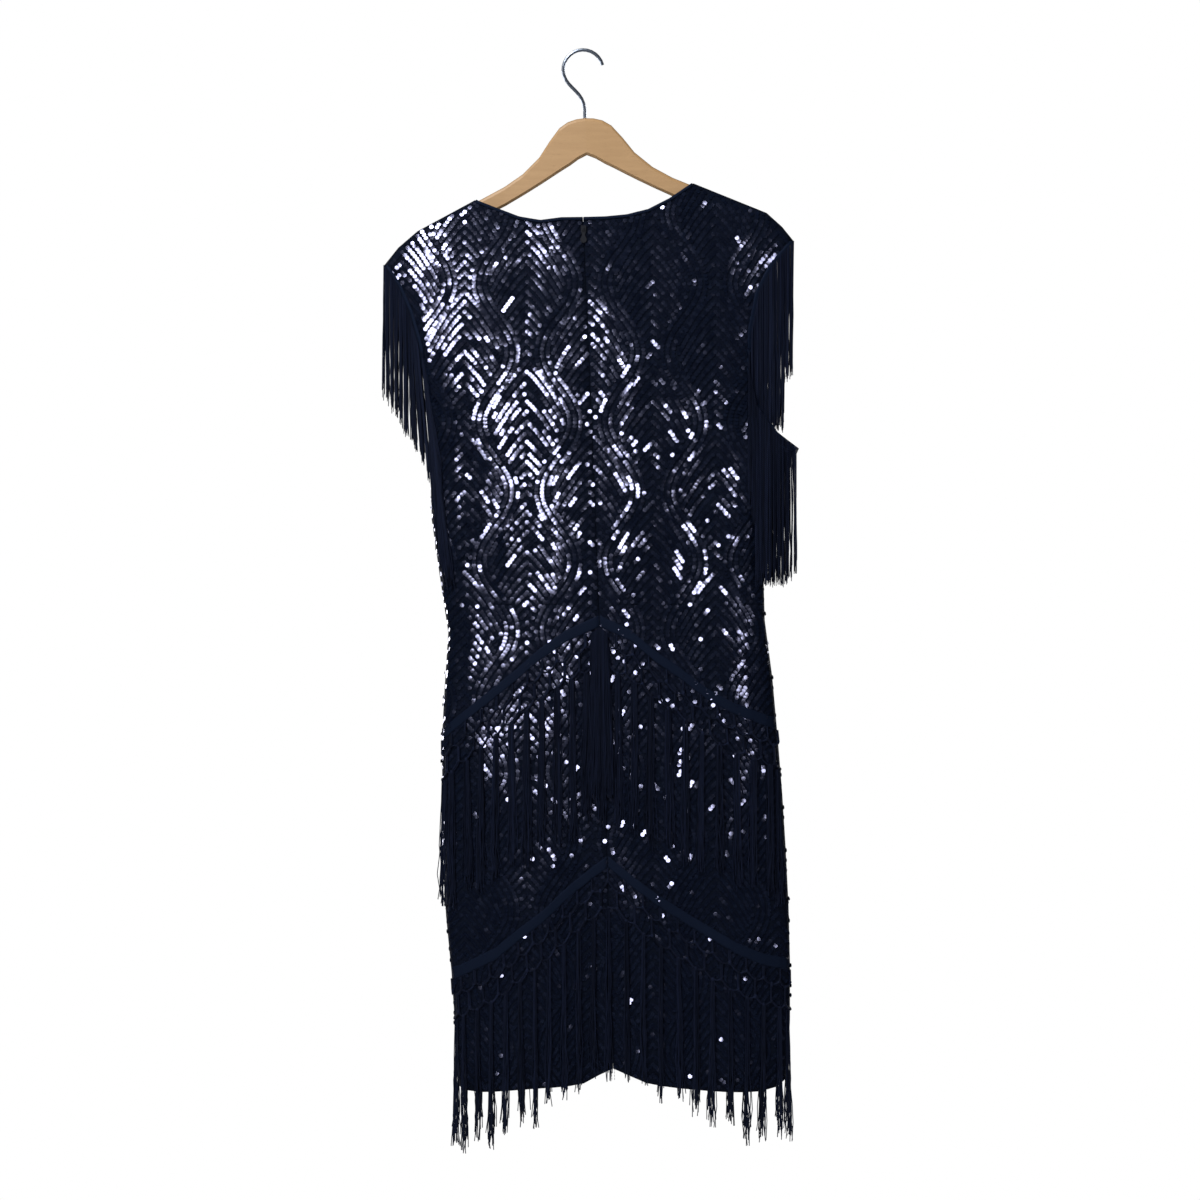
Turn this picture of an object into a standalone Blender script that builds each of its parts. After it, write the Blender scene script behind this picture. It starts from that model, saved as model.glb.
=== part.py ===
"""A sequinned party dress with fringed armholes and two netted, tasselled trims, on a wooden hanger.

The origin is the inside of the hook's crown. +Z is up, +Y runs from the dress's back, which the zip
closes, to its front, and +X is to the right of someone who faces the back. Sizes are in millimetres
until a mesh is made, and left and right are those of the same viewer.
"""
import math
from bisect import bisect_right
from collections import namedtuple

import bmesh
import bpy
from mathutils import Vector

MM = 0.001
BACK = -1
FRONT = 1

# Walls and the gaps between pieces.
WALL = 2.0
SEAM_GAP = 0.3
HALF_GAP = SEAM_GAP / 2
TRIM_GAP = 0.6

# The hanger: a flat beech board, turned a little on its hook, with a bright wire hook.
HANGER_PIVOT_X = 2.0
HANGER_PIVOT_Z = -77.0
HANGER_TILT = math.radians(3.2)
HUB_HALF_THICK = 6.5
ARM_HALF_THICK = 5.5
EDGE_ROUND = 4.0
SHOULDER_SEAT = 3.4
WIRE_RADIUS = 2.0
CROWN_RADIUS = 23.0
STEM_DEPTH = 16.0
STEM_CLEARANCE = 0.4

HangerRow = namedtuple("HangerRow", "along top bottom")
HANGER_ROWS = [
    HangerRow(along=0, top=0.0, bottom=-42.0),
    HangerRow(along=10, top=-0.8, bottom=-46.5),
    HangerRow(along=20, top=-3.6, bottom=-53.0),
    HangerRow(along=30, top=-10.0, bottom=-58.5),
    HangerRow(along=42, top=-24.5, bottom=-65.5),
    HangerRow(along=55, top=-42.5, bottom=-73.0),
    HangerRow(along=75, top=-60.5, bottom=-84.0),
    HangerRow(along=97, top=-74.0, bottom=-95.5),
    HangerRow(along=150, top=-98.9, bottom=-118.5),
    HangerRow(along=197, top=-121.0, bottom=-139.0),
    HangerRow(along=205, top=-128.5, bottom=-137.0),
]

# The tube of the dress: its left and right side seams and its half depth, from the hem up.
Section = namedtuple("Section", "height left right depth")
SECTIONS = [
    Section(height=-1200, left=-143.5, right=234.0, depth=24.0),
    Section(height=-1116, left=-148.0, right=238.5, depth=25.0),
    Section(height=-1050, left=-152.5, right=238.5, depth=26.0),
    Section(height=-976, left=-159.4, right=236.5, depth=27.0),
    Section(height=-861, left=-161.7, right=230.0, depth=28.0),
    Section(height=-781, left=-162.9, right=223.5, depth=28.0),
    Section(height=-701, left=-157.1, right=216.0, depth=26.0),
    Section(height=-646, left=-156.0, right=208.5, depth=24.0),
    Section(height=-588, left=-168.6, right=207.6, depth=24.0),
    Section(height=-532, left=-175.0, right=217.0, depth=26.0),
    Section(height=-488, left=-175.5, right=231.0, depth=27.0),
    Section(height=-455, left=-174.0, right=249.5, depth=27.0),
    Section(height=-400, left=-174.0, right=249.5, depth=26.0),
    Section(height=-330, left=-174.0, right=249.5, depth=22.5),
    Section(height=-260, left=-174.0, right=249.5, depth=17.5),
    Section(height=-200, left=-174.0, right=249.5, depth=12.8),
    Section(height=-150, left=-174.0, right=249.5, depth=11.2),
]
SIDE_ROUND = 2.6
SEAM_TOP = -190.0
SEAM_LEAN = 0.045
SEAM_BEND = 1.0e-5

# The hem, on a scale that runs from -1 at the left side seam to 1 at the right one.
HemRow = namedtuple("HemRow", "across height")
HEM = [
    HemRow(across=-1.0, height=-1191.0),
    HemRow(across=-0.9, height=-1197.0),
    HemRow(across=-0.5, height=-1192.0),
    HemRow(across=-0.18, height=-1186.0),
    HemRow(across=0.0, height=-1169.0),
    HemRow(across=0.16, height=-1184.0),
    HemRow(across=0.5, height=-1194.0),
    HemRow(across=0.9, height=-1195.0),
    HemRow(across=1.0, height=-1182.0),
]

# The armhole edges, from the underarm up to the tip of the shoulder.
EdgeRow = namedtuple("EdgeRow", "x height")
LEFT_ARMHOLE = [
    EdgeRow(x=-174.3, height=-473.7),
    EdgeRow(x=-174.5, height=-448.5),
    EdgeRow(x=-178.5, height=-414.1),
    EdgeRow(x=-184.0, height=-373.9),
    EdgeRow(x=-191.5, height=-333.8),
    EdgeRow(x=-201.5, height=-299.4),
    EdgeRow(x=-214.0, height=-270.7),
    EdgeRow(x=-229.4, height=-246.6),
]
RIGHT_ARMHOLE = [
    EdgeRow(x=249.0, height=-457.7),
    EdgeRow(x=224.0, height=-439.3),
    EdgeRow(x=203.0, height=-408.3),
    EdgeRow(x=194.5, height=-368.2),
    EdgeRow(x=195.0, height=-322.3),
    EdgeRow(x=204.0, height=-276.4),
    EdgeRow(x=221.0, height=-244.3),
    EdgeRow(x=243.2, height=-219.0),
]
ARMHOLE_SPREAD = 9.0
ARM_CLEARANCE = 9.2

# The shoulders: how far along the hanger's arm each column of the cloth sits, and the overhang.
LEFT_SEATS = [200.0, 183.0, 166.0, 149.0, 132.0]
LEFT_OVERHANG = [EdgeRow(x=-229.4, height=-246.6), EdgeRow(x=-213.0, height=-226.0)]
RIGHT_SEATS = [120.6, 141.0, 162.0, 183.0, 203.0]
RIGHT_OVERHANG = [EdgeRow(x=229.5, height=-202.0), EdgeRow(x=243.2, height=-219.0)]
SHOULDER_ARCH = 11.0

# The neckline: its edge at the back, and how far the front is scooped below the shoulders.
BACK_NECK = [
    EdgeRow(x=-125.0, height=-172.3),
    EdgeRow(x=-98.6, height=-182.4),
    EdgeRow(x=-75.0, height=-191.5),
    EdgeRow(x=-50.0, height=-196.0),
    EdgeRow(x=-25.0, height=-192.8),
    EdgeRow(x=0.0, height=-192.5),
    EdgeRow(x=43.0, height=-190.5),
    EdgeRow(x=76.0, height=-183.0),
    EdgeRow(x=102.0, height=-169.5),
    EdgeRow(x=127.3, height=-152.7),
]
FRONT_SCOOP = 105.0
SCOOP_ROUND = 1.1
NECK_STEP = 1.5

# Soft hanging folds: a ridge where rise is above zero, a trough where it is below.
Fold = namedtuple("Fold", "side across width top bottom rise")
FOLDS = [
    Fold(side=BACK, across=-0.74, width=0.13, top=-420, bottom=-800, rise=-4.0),
    Fold(side=BACK, across=-0.48, width=0.15, top=-700, bottom=-1420, rise=4.5),
    Fold(side=BACK, across=-0.16, width=0.14, top=-780, bottom=-1500, rise=-3.5),
    Fold(side=BACK, across=0.22, width=0.15, top=-640, bottom=-1380, rise=3.5),
    Fold(side=BACK, across=0.55, width=0.14, top=-360, bottom=-760, rise=-4.5),
    Fold(side=BACK, across=0.70, width=0.16, top=-760, bottom=-1460, rise=4.0),
    Fold(side=FRONT, across=-0.66, width=0.15, top=-600, bottom=-1400, rise=4.0),
    Fold(side=FRONT, across=-0.30, width=0.14, top=-380, bottom=-860, rise=-3.5),
    Fold(side=FRONT, across=0.05, width=0.16, top=-760, bottom=-1480, rise=4.5),
    Fold(side=FRONT, across=0.40, width=0.15, top=-420, bottom=-900, rise=3.0),
    Fold(side=FRONT, across=0.62, width=0.14, top=-700, bottom=-1440, rise=-4.0),
]

# The grid of the cloth: even pitches round each half, the outermost one halved.
PITCHES = 11
MIDDLE = PITCHES + 1
LAST_COLUMN = 2 * MIDDLE
SHOULDER_COLUMNS = 6
SHOULDER = {*range(SHOULDER_COLUMNS + 1), *range(LAST_COLUMN - SHOULDER_COLUMNS, LAST_COLUMN + 1)}
REFERENCE_HALF_WIDTH = 190.0
REFERENCE_DEPTH = 25.0
SKIRT_ROWS = 11
CHEST_SHARES = [0.12, 0.24, 0.36, 0.48, 0.60, 0.71, 0.82]
ARCH_DROPS = [24.0, 10.0, 4.5, 1.5, 0.0]
UNDERARM_ROW = SKIRT_ROWS

# The trims: a woven tape, two rows of knotted net under it, and a tassel under each knot.
TrimRow = namedtuple("TrimRow", "x height")
UPPER_LINE = [
    TrimRow(x=-170.0, height=-793.0),
    TrimRow(x=-139.9, height=-768.5),
    TrimRow(x=-106.7, height=-742.1),
    TrimRow(x=-76.8, height=-718.0),
    TrimRow(x=-50.5, height=-695.1),
    TrimRow(x=-19.5, height=-673.3),
    TrimRow(x=19.0, height=-656.0),
    TrimRow(x=53.9, height=-672.1),
    TrimRow(x=82.6, height=-696.2),
    TrimRow(x=111.3, height=-715.7),
    TrimRow(x=141.1, height=-738.7),
    TrimRow(x=172.1, height=-755.9),
    TrimRow(x=205.3, height=-768.5),
    TrimRow(x=232.0, height=-778.0),
]
LOWER_LINE = [
    TrimRow(x=-165.0, height=-1066.0),
    TrimRow(x=-139.9, height=-1057.5),
    TrimRow(x=-100.9, height=-1038.0),
    TrimRow(x=-73.4, height=-1015.1),
    TrimRow(x=-45.9, height=-994.4),
    TrimRow(x=-16.1, height=-965.8),
    TrimRow(x=12.6, height=-942.8),
    TrimRow(x=28.7, height=-931.4),
    TrimRow(x=59.6, height=-956.6),
    TrimRow(x=88.3, height=-977.2),
    TrimRow(x=120.4, height=-997.9),
    TrimRow(x=149.1, height=-1015.1),
    TrimRow(x=176.6, height=-1031.2),
    TrimRow(x=205.3, height=-1043.8),
    TrimRow(x=242.0, height=-1052.0),
]
UPPER_TIPS = [
    TrimRow(x=-170.0, height=-1002.0),
    TrimRow(x=-100.0, height=-960.0),
    TrimRow(x=19.0, height=-892.0),
    TrimRow(x=120.0, height=-940.0),
    TrimRow(x=232.0, height=-985.0),
]
LOWER_TIPS = [
    TrimRow(x=-165.0, height=-1271.0),
    TrimRow(x=-110.0, height=-1264.0),
    TrimRow(x=-60.0, height=-1238.0),
    TrimRow(x=-20.0, height=-1206.0),
    TrimRow(x=30.0, height=-1182.0),
    TrimRow(x=90.0, height=-1205.0),
    TrimRow(x=150.0, height=-1238.0),
    TrimRow(x=205.0, height=-1262.0),
    TrimRow(x=242.0, height=-1252.0),
]
TAPE_WIDTH = 13.8
TAPE_THICK = 1.4
CORD_HALF_WIDTH = 0.085
FIRST_DROP = 14.0
SLANT_DROP = 6.0
KNOT_DROP = 19.0
TASSEL_HALF_WIDTH = 0.19
TASSEL_LIFT = 2.6
TIP_UNEVEN = 7.0

# The armhole fringe: a narrow tape along the edge, and locks that hang from it.
FRINGE_TAPE = 6.0
FRINGE_THICK = 1.2
FRINGE_LENGTH = 155.0
LEFT_LOCKS_END = -352.0
ROOT_STEP = 1.9
LONGEST_STEP = 12.0
UNDERARM_EXTRA = 1.2
LOCK_STEP = 3.5
LOCK_WIDTH = 2.4
LOCK_THICK = 1.4

# The neck binding, the zip's slider and its pull tab.
BINDING_GAP = 0.4
BINDING_THICK = 0.9
SLIDER_WIDTH = 6.0
SLIDER_HEIGHT = 9.0
SLIDER_THICK = 2.0
SLIDER_HEIGHT_AT = -206.0
BRIDGE_WIDTH = 1.1
BRIDGE_BAR = 1.0
BRIDGE_POST = 1.1
BRIDGE_WINDOW = 1.8
TAB_THICK = 0.9
TAB_HALF_WIDTH = 2.3
TAB_WINDOW_HALF = 1.15
TAB_WINDOW_END = 4.0
TAB_DROP_RADIUS = 3.6
TAB_LENGTH = 16.0

# Colours in linear light, as a Principled BSDF takes them.
Finish = namedtuple("Finish", "colour roughness metallic")
CLOTH = Finish(colour=(0.006, 0.007, 0.013), roughness=0.55, metallic=0.0)
BRAID = Finish(colour=(0.005, 0.006, 0.011), roughness=0.7, metallic=0.0)
BEECH = Finish(colour=(0.58, 0.36, 0.17), roughness=0.45, metallic=0.0)
BRIGHT_WIRE = Finish(colour=(0.72, 0.73, 0.75), roughness=0.18, metallic=1.0)
ZIP_METAL = Finish(colour=(0.03, 0.035, 0.06), roughness=0.3, metallic=0.6)


def clear_scene():
    for old in list(bpy.data.objects):
        bpy.data.objects.remove(old, do_unlink=True)


def material(name, finish):
    made = bpy.data.materials.new(name)
    made.use_nodes = True
    shader = made.node_tree.nodes["Principled BSDF"]
    shader.inputs["Base Color"].default_value = (*finish.colour, 1.0)
    shader.inputs["Roughness"].default_value = finish.roughness
    shader.inputs["Metallic"].default_value = finish.metallic
    return made


def solid(name, points, faces, finish_material):
    """One closed mesh object, from points in millimetres, with its faces turned outwards."""
    mesh = bpy.data.meshes.new(name)
    shape = bmesh.new()
    corners = [shape.verts.new(Vector(point) * MM) for point in points]
    for face in faces:
        shape.faces.new([corners[i] for i in face])
    bmesh.ops.recalc_face_normals(shape, faces=shape.faces[:])
    if shape.calc_volume(signed=True) < 0:
        bmesh.ops.reverse_faces(shape, faces=shape.faces[:])
    shape.to_mesh(mesh)
    shape.free()
    made = bpy.data.objects.new(name, mesh)
    made.data.materials.append(finish_material)
    bpy.context.scene.collection.objects.link(made)
    return made


def between(a, b, share):
    return a + (b - a) * share


def read(rows, column, at):
    """A table's column at a place along its first column, on a smooth curve through its rows."""
    keys = [row[0] for row in rows]
    values = [getattr(row, column) for row in rows]
    at = min(max(at, keys[0]), keys[-1])
    i = min(max(bisect_right(keys, at) - 1, 0), len(keys) - 2)

    def slope(k):
        low = max(k - 1, 0)
        high = min(k + 1, len(keys) - 1)
        return (values[high] - values[low]) / (keys[high] - keys[low])

    span = keys[i + 1] - keys[i]
    t = (at - keys[i]) / span
    start = (2 * t**3 - 3 * t**2 + 1) * values[i] + (t**3 - 2 * t**2 + t) * span * slope(i)
    end = (3 * t**2 - 2 * t**3) * values[i + 1] + (t**3 - t**2) * span * slope(i + 1)
    return start + end


def along_edge(rows, share):
    """The point at a share of the way along an edge table, by length."""
    points = [Vector((row.x, row.height)) for row in rows]
    lengths = [0.0]
    for a, b in zip(points, points[1:]):
        lengths.append(lengths[-1] + (b - a).length)
    target = share * lengths[-1]
    i = min(max(bisect_right(lengths, target) - 1, 0), len(points) - 2)
    return points[i].lerp(points[i + 1], (target - lengths[i]) / (lengths[i + 1] - lengths[i]))


def hanger_point(along, height):
    """A point of the hanger's own upright frame, turned by its tilt."""
    x = along * math.cos(HANGER_TILT) - height * math.sin(HANGER_TILT)
    z = along * math.sin(HANGER_TILT) + height * math.cos(HANGER_TILT)
    return Vector((HANGER_PIVOT_X + x, HANGER_PIVOT_Z + z))


def hanger_row(along, column):
    """The hanger's table, read in straight stretches."""
    rows = HANGER_ROWS
    keys = [row.along for row in rows]
    i = min(bisect_right(keys, along) - 1, len(rows) - 2)
    share = (along - keys[i]) / (keys[i + 1] - keys[i])
    return between(getattr(rows[i], column), getattr(rows[i + 1], column), share)


def seat_on_arm(along):
    """Where the shoulder seam crosses over the hanger's arm; along is below zero on the left."""
    straight = HANGER_ROWS[7].top
    slope = (HANGER_ROWS[9].top - straight) / (HANGER_ROWS[9].along - HANGER_ROWS[7].along)
    top = straight + slope * (abs(along) - HANGER_ROWS[7].along)
    return hanger_point(along, top) + Vector((0.0, SHOULDER_SEAT))


def even_places():
    """The columns' places across half the cloth, 0 at the middle and 1 at the side seam."""
    count = 600
    samples = []
    for i in range(count + 1):
        across = math.sin(math.pi / 2 * i / count)
        depth = REFERENCE_DEPTH * (1 - across**SIDE_ROUND) ** (1 / SIDE_ROUND)
        samples.append(Vector((across * REFERENCE_HALF_WIDTH, depth)))
    lengths = [0.0]
    for a, b in zip(samples, samples[1:]):
        lengths.append(lengths[-1] + (b - a).length)
    places = []
    for pitch in [*range(PITCHES), PITCHES - 0.5, PITCHES]:
        target = lengths[-1] * pitch / PITCHES
        i = min(bisect_right(lengths, target) - 1, count - 1)
        share = (target - lengths[i]) / (lengths[i + 1] - lengths[i])
        places.append(between(samples[i].x, samples[i + 1].x, share) / REFERENCE_HALF_WIDTH)
    places[-1] = 1.0
    return places


HALF_PLACES = even_places()
PLACES = [-place for place in reversed(HALF_PLACES[1:])] + HALF_PLACES


def middle_seam(height):
    """How far the centre-back seam has leant to the right at a height."""
    drop = max(SEAM_TOP - height, 0.0)
    return SEAM_LEAN * drop - SEAM_BEND * drop**2


def roundness(place):
    return max(0.0, 1 - abs(place) ** SIDE_ROUND) ** (1 / SIDE_ROUND)


def fold_rise(side, place, height):
    total = 0.0
    for fold in FOLDS:
        share = (fold.top - height) / (fold.top - fold.bottom)
        if fold.side == side and 0 < share < 1:
            across = math.exp(-(((place - fold.across) / fold.width) ** 2))
            total += fold.rise * across * math.sin(math.pi * share) ** 2
    return total * (1 - place**4)


def side_place(place, height):
    """x on the tube of the dress at a place across it."""
    middle = middle_seam(height)
    edge = read(SECTIONS, "right", height) if place > 0 else read(SECTIONS, "left", height)
    return middle + abs(place) * (edge - middle)


def skirt_point(side, place, height):
    depth = read(SECTIONS, "depth", height)
    y = HALF_GAP + (depth - HALF_GAP) * roundness(place) + fold_rise(side, place, height)
    return Vector((side_place(place, height), side * y, height))


def neck_edge(side, x):
    """The neckline's height at x, at the back or the front."""
    back = read(BACK_NECK, "height", x)
    if side == BACK:
        return back
    left = BACK_NECK[0]
    right = BACK_NECK[-1]
    share = (x - left.x) / (right.x - left.x)
    scoop = max(0.0, 1 - (2 * share - 1) ** 2) ** SCOOP_ROUND
    return between(left.height, right.height, share) - FRONT_SCOOP * scoop


def top_line(side):
    """The cloth's upper edge as (x, z) at each column: shoulder, neckline, shoulder."""
    left = [Vector((row.x, row.height)) for row in LEFT_OVERHANG]
    left += [seat_on_arm(-along) for along in LEFT_SEATS]
    right = [seat_on_arm(along) for along in RIGHT_SEATS]
    right += [Vector((row.x, row.height)) for row in RIGHT_OVERHANG]
    first_x = left[-1].x + NECK_STEP
    last_x = right[0].x - NECK_STEP
    inner = MIDDLE - SHOULDER_COLUMNS - 1
    neck = []
    for i in range(inner + 1):
        x = between(first_x, 0.0, i / inner)
        neck.append(Vector((x, neck_edge(side, x))))
    for i in range(1, inner + 1):
        x = between(0.0, last_x, i / inner)
        neck.append(Vector((x, neck_edge(side, x))))
    return left + neck + right


def underarm_height(place):
    share = (place + 1) / 2
    return between(LEFT_ARMHOLE[0].height, RIGHT_ARMHOLE[0].height, share)


def chest_point(side, column, share, drop, top):
    """A point above the underarm, share of the way up its column and drop below the top edge."""
    place = PLACES[column]
    low_z = underarm_height(place)
    low = Vector((side_place(place, low_z), low_z))
    left = along_edge(LEFT_ARMHOLE, share)
    right = along_edge(RIGHT_ARMHOLE, share)
    low_left = along_edge(LEFT_ARMHOLE, 0.0)
    low_right = along_edge(RIGHT_ARMHOLE, 0.0)
    bend_left = left - low_left.lerp(top[0], share)
    bend_right = right - low_right.lerp(top[-1], share)
    bend = bend_left if place < 0 else bend_right
    flat = low.lerp(top[column], share) + bend * abs(place) ** 1.5
    edge = HALF_GAP + ARMHOLE_SPREAD * math.sin(math.pi * min(share, 0.75)) ** 0.6
    depth = read(SECTIONS, "depth", flat.y)
    y = edge + (depth - edge) * roundness(place) + fold_rise(side, place, flat.y)
    if column in SHOULDER:
        over_arm = min(max((90.0 - drop) / 50.0, 0.0), 1.0)
        y = max(y, ARM_CLEARANCE * over_arm if 0 < column < LAST_COLUMN else y)
        reach = 1 - min(drop / SHOULDER_ARCH, 1.0)
        y = HALF_GAP + (y - HALF_GAP) * math.sqrt(1 - reach**2)
    return Vector((flat.x, side * y, flat.y))


def cloth_columns(side):
    """The outer face of the back or the front, as columns of points from the hem to the top edge."""
    top = top_line(side)
    columns = []
    for column, place in enumerate(PLACES):
        hem = read(HEM, "height", place)
        under = underarm_height(place)
        points = []
        for row in range(SKIRT_ROWS + 1):
            points.append(skirt_point(side, place, between(hem, under, row / SKIRT_ROWS)))
        reach = top[column].y - under
        for share in CHEST_SHARES:
            points.append(chest_point(side, column, share, reach * (1 - share), top))
        for drop in ARCH_DROPS:
            points.append(chest_point(side, column, 1 - drop / reach, drop, top))
        columns.append(points)
    return columns


def is_seam(column, row, last_row):
    """Whether a point lies where the back is sewn to the front."""
    on_side = column in (0, LAST_COLUMN) and row <= UNDERARM_ROW
    return on_side or (row == last_row and column in SHOULDER)


def cloth_normals(side, columns):
    """At each point, the way out of the cloth, as long as keeps an even distance from its faces."""
    wide = len(columns)
    tall = len(columns[0])
    faces = {}
    for c in range(wide - 1):
        for r in range(tall - 1):
            diagonal = columns[c + 1][r + 1] - columns[c][r]
            other = columns[c][r + 1] - columns[c + 1][r]
            normal = diagonal.cross(other).normalized()
            faces[c, r] = -normal if side == BACK else normal
    if faces[MIDDLE, 2].y * side < 0:
        faces = {key: -normal for key, normal in faces.items()}
    outward = []
    for c in range(wide):
        line = []
        for r in range(tall):
            near = [faces[k] for k in [(c, r), (c - 1, r), (c, r - 1), (c - 1, r - 1)] if k in faces]
            total = sum(near, Vector())
            if is_seam(c, r, tall - 1):
                total.y = 0.0
            total.normalize()
            least = max(0.62, min(total.dot(normal) for normal in near))
            line.append(total / least)
        outward.append(line)
    return outward


class Cloth:
    """The outer face of the back or of the front, and the way out of it at each point."""

    def __init__(self, side):
        self.side = side
        self.columns = cloth_columns(side)
        self.outward = cloth_normals(side, self.columns)
        self.last_row = len(self.columns[0]) - 1

    def at(self, column, row, out):
        """The point out from the cloth at whole or part numbers of columns and rows."""
        c = min(int(column), LAST_COLUMN - 1)
        r = min(int(row), self.last_row - 1)
        sides = []
        for i in (c, c + 1):
            low = self.columns[i][r] + self.outward[i][r] * out
            high = self.columns[i][r + 1] + self.outward[i][r + 1] * out
            sides.append(low.lerp(high, row - r))
        return self.keep_side(sides[0].lerp(sides[1], column - c))

    def at_height(self, column, height, out):
        """The point out from the cloth at a height; below the hem it hangs straight down."""
        c = min(int(column), LAST_COLUMN - 1)
        sides = []
        for i in (c, c + 1):
            heights = [point.z for point in self.columns[i]]
            r = min(max(bisect_right(heights, height) - 1, 0), self.last_row - 1)
            share = max(0.0, (height - heights[r]) / (heights[r + 1] - heights[r]))
            way = self.outward[i][r].lerp(self.outward[i][r + 1], share)
            way.z = 0.0
            sides.append(self.columns[i][r].lerp(self.columns[i][r + 1], share) + way * out)
        point = sides[0].lerp(sides[1], column - c)
        point.z = height
        return self.keep_side(point)

    def keep_side(self, point):
        point.y = self.side * max(HALF_GAP, self.side * point.y)
        return point


def panel(name, cloth, first, last, shift_first, shift_last, finish_material):
    """A wall of the cloth between two columns, whose edge columns may shift to leave a seam gap."""
    wide = last - first + 1
    tall = cloth.last_row + 1
    points = []
    for out in (0.0, -WALL):
        for column in range(first, last + 1):
            shift = shift_first if column == first else shift_last if column == last else 0.0
            for row in range(tall):
                point = cloth.at(column, row, out)
                points.append(point + Vector((shift, 0.0, 0.0)))
    return solid(name, points, grid_wall_faces(wide, tall), finish_material)


def grid_wall_faces(wide, tall):
    """The faces of a wall whose two sides are grids of points, one after the other."""

    def index(layer, c, r):
        return (layer * wide + c) * tall + r

    faces = []
    for c in range(wide - 1):
        for r in range(tall - 1):
            for layer in (0, 1):
                faces.append([index(layer, c, r), index(layer, c + 1, r),
                              index(layer, c + 1, r + 1), index(layer, c, r + 1)])
    for c in range(wide - 1):
        for r in (0, tall - 1):
            faces.append([index(0, c, r), index(0, c + 1, r), index(1, c + 1, r), index(1, c, r)])
    for r in range(tall - 1):
        for c in (0, wide - 1):
            faces.append([index(0, c, r), index(0, c, r + 1), index(1, c, r + 1), index(1, c, r)])
    return faces


class Flat:
    """A flat pattern of polygons that share corners, thickened over the cloth into one solid."""

    def __init__(self):
        self.corners = []
        self.numbers = {}
        self.polygons = []

    def corner(self, key, place):
        if key not in self.numbers:
            self.numbers[key] = len(self.corners)
            self.corners.append(place)
        return self.numbers[key]

    def polygon(self, *numbers):
        self.polygons.append(list(numbers))

    def thicken(self, name, near, far, finish_material):
        """near and far give each corner's point on the side towards the cloth and the other one."""
        count = len(self.corners)
        points = [near(place) for place in self.corners] + [far(place) for place in self.corners]
        faces = [polygon[::-1] for polygon in self.polygons]
        faces += [[i + count for i in polygon] for polygon in self.polygons]
        uses = {}
        for polygon in self.polygons:
            for a, b in zip(polygon, polygon[1:] + polygon[:1]):
                uses.setdefault(frozenset((a, b)), []).append((a, b))
        for found in uses.values():
            if len(found) == 1:
                a, b = found[0]
                faces.append([a, b, b + count, a + count])
        return solid(name, points, faces, finish_material)


def grid_column(pitch):
    """The cloth's column at a number of pitches from the middle."""
    whole = PITCHES - 1
    extra = max(0.0, abs(pitch) - whole)
    return MIDDLE + math.copysign(min(abs(pitch), whole) + 2 * extra, pitch)


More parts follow.
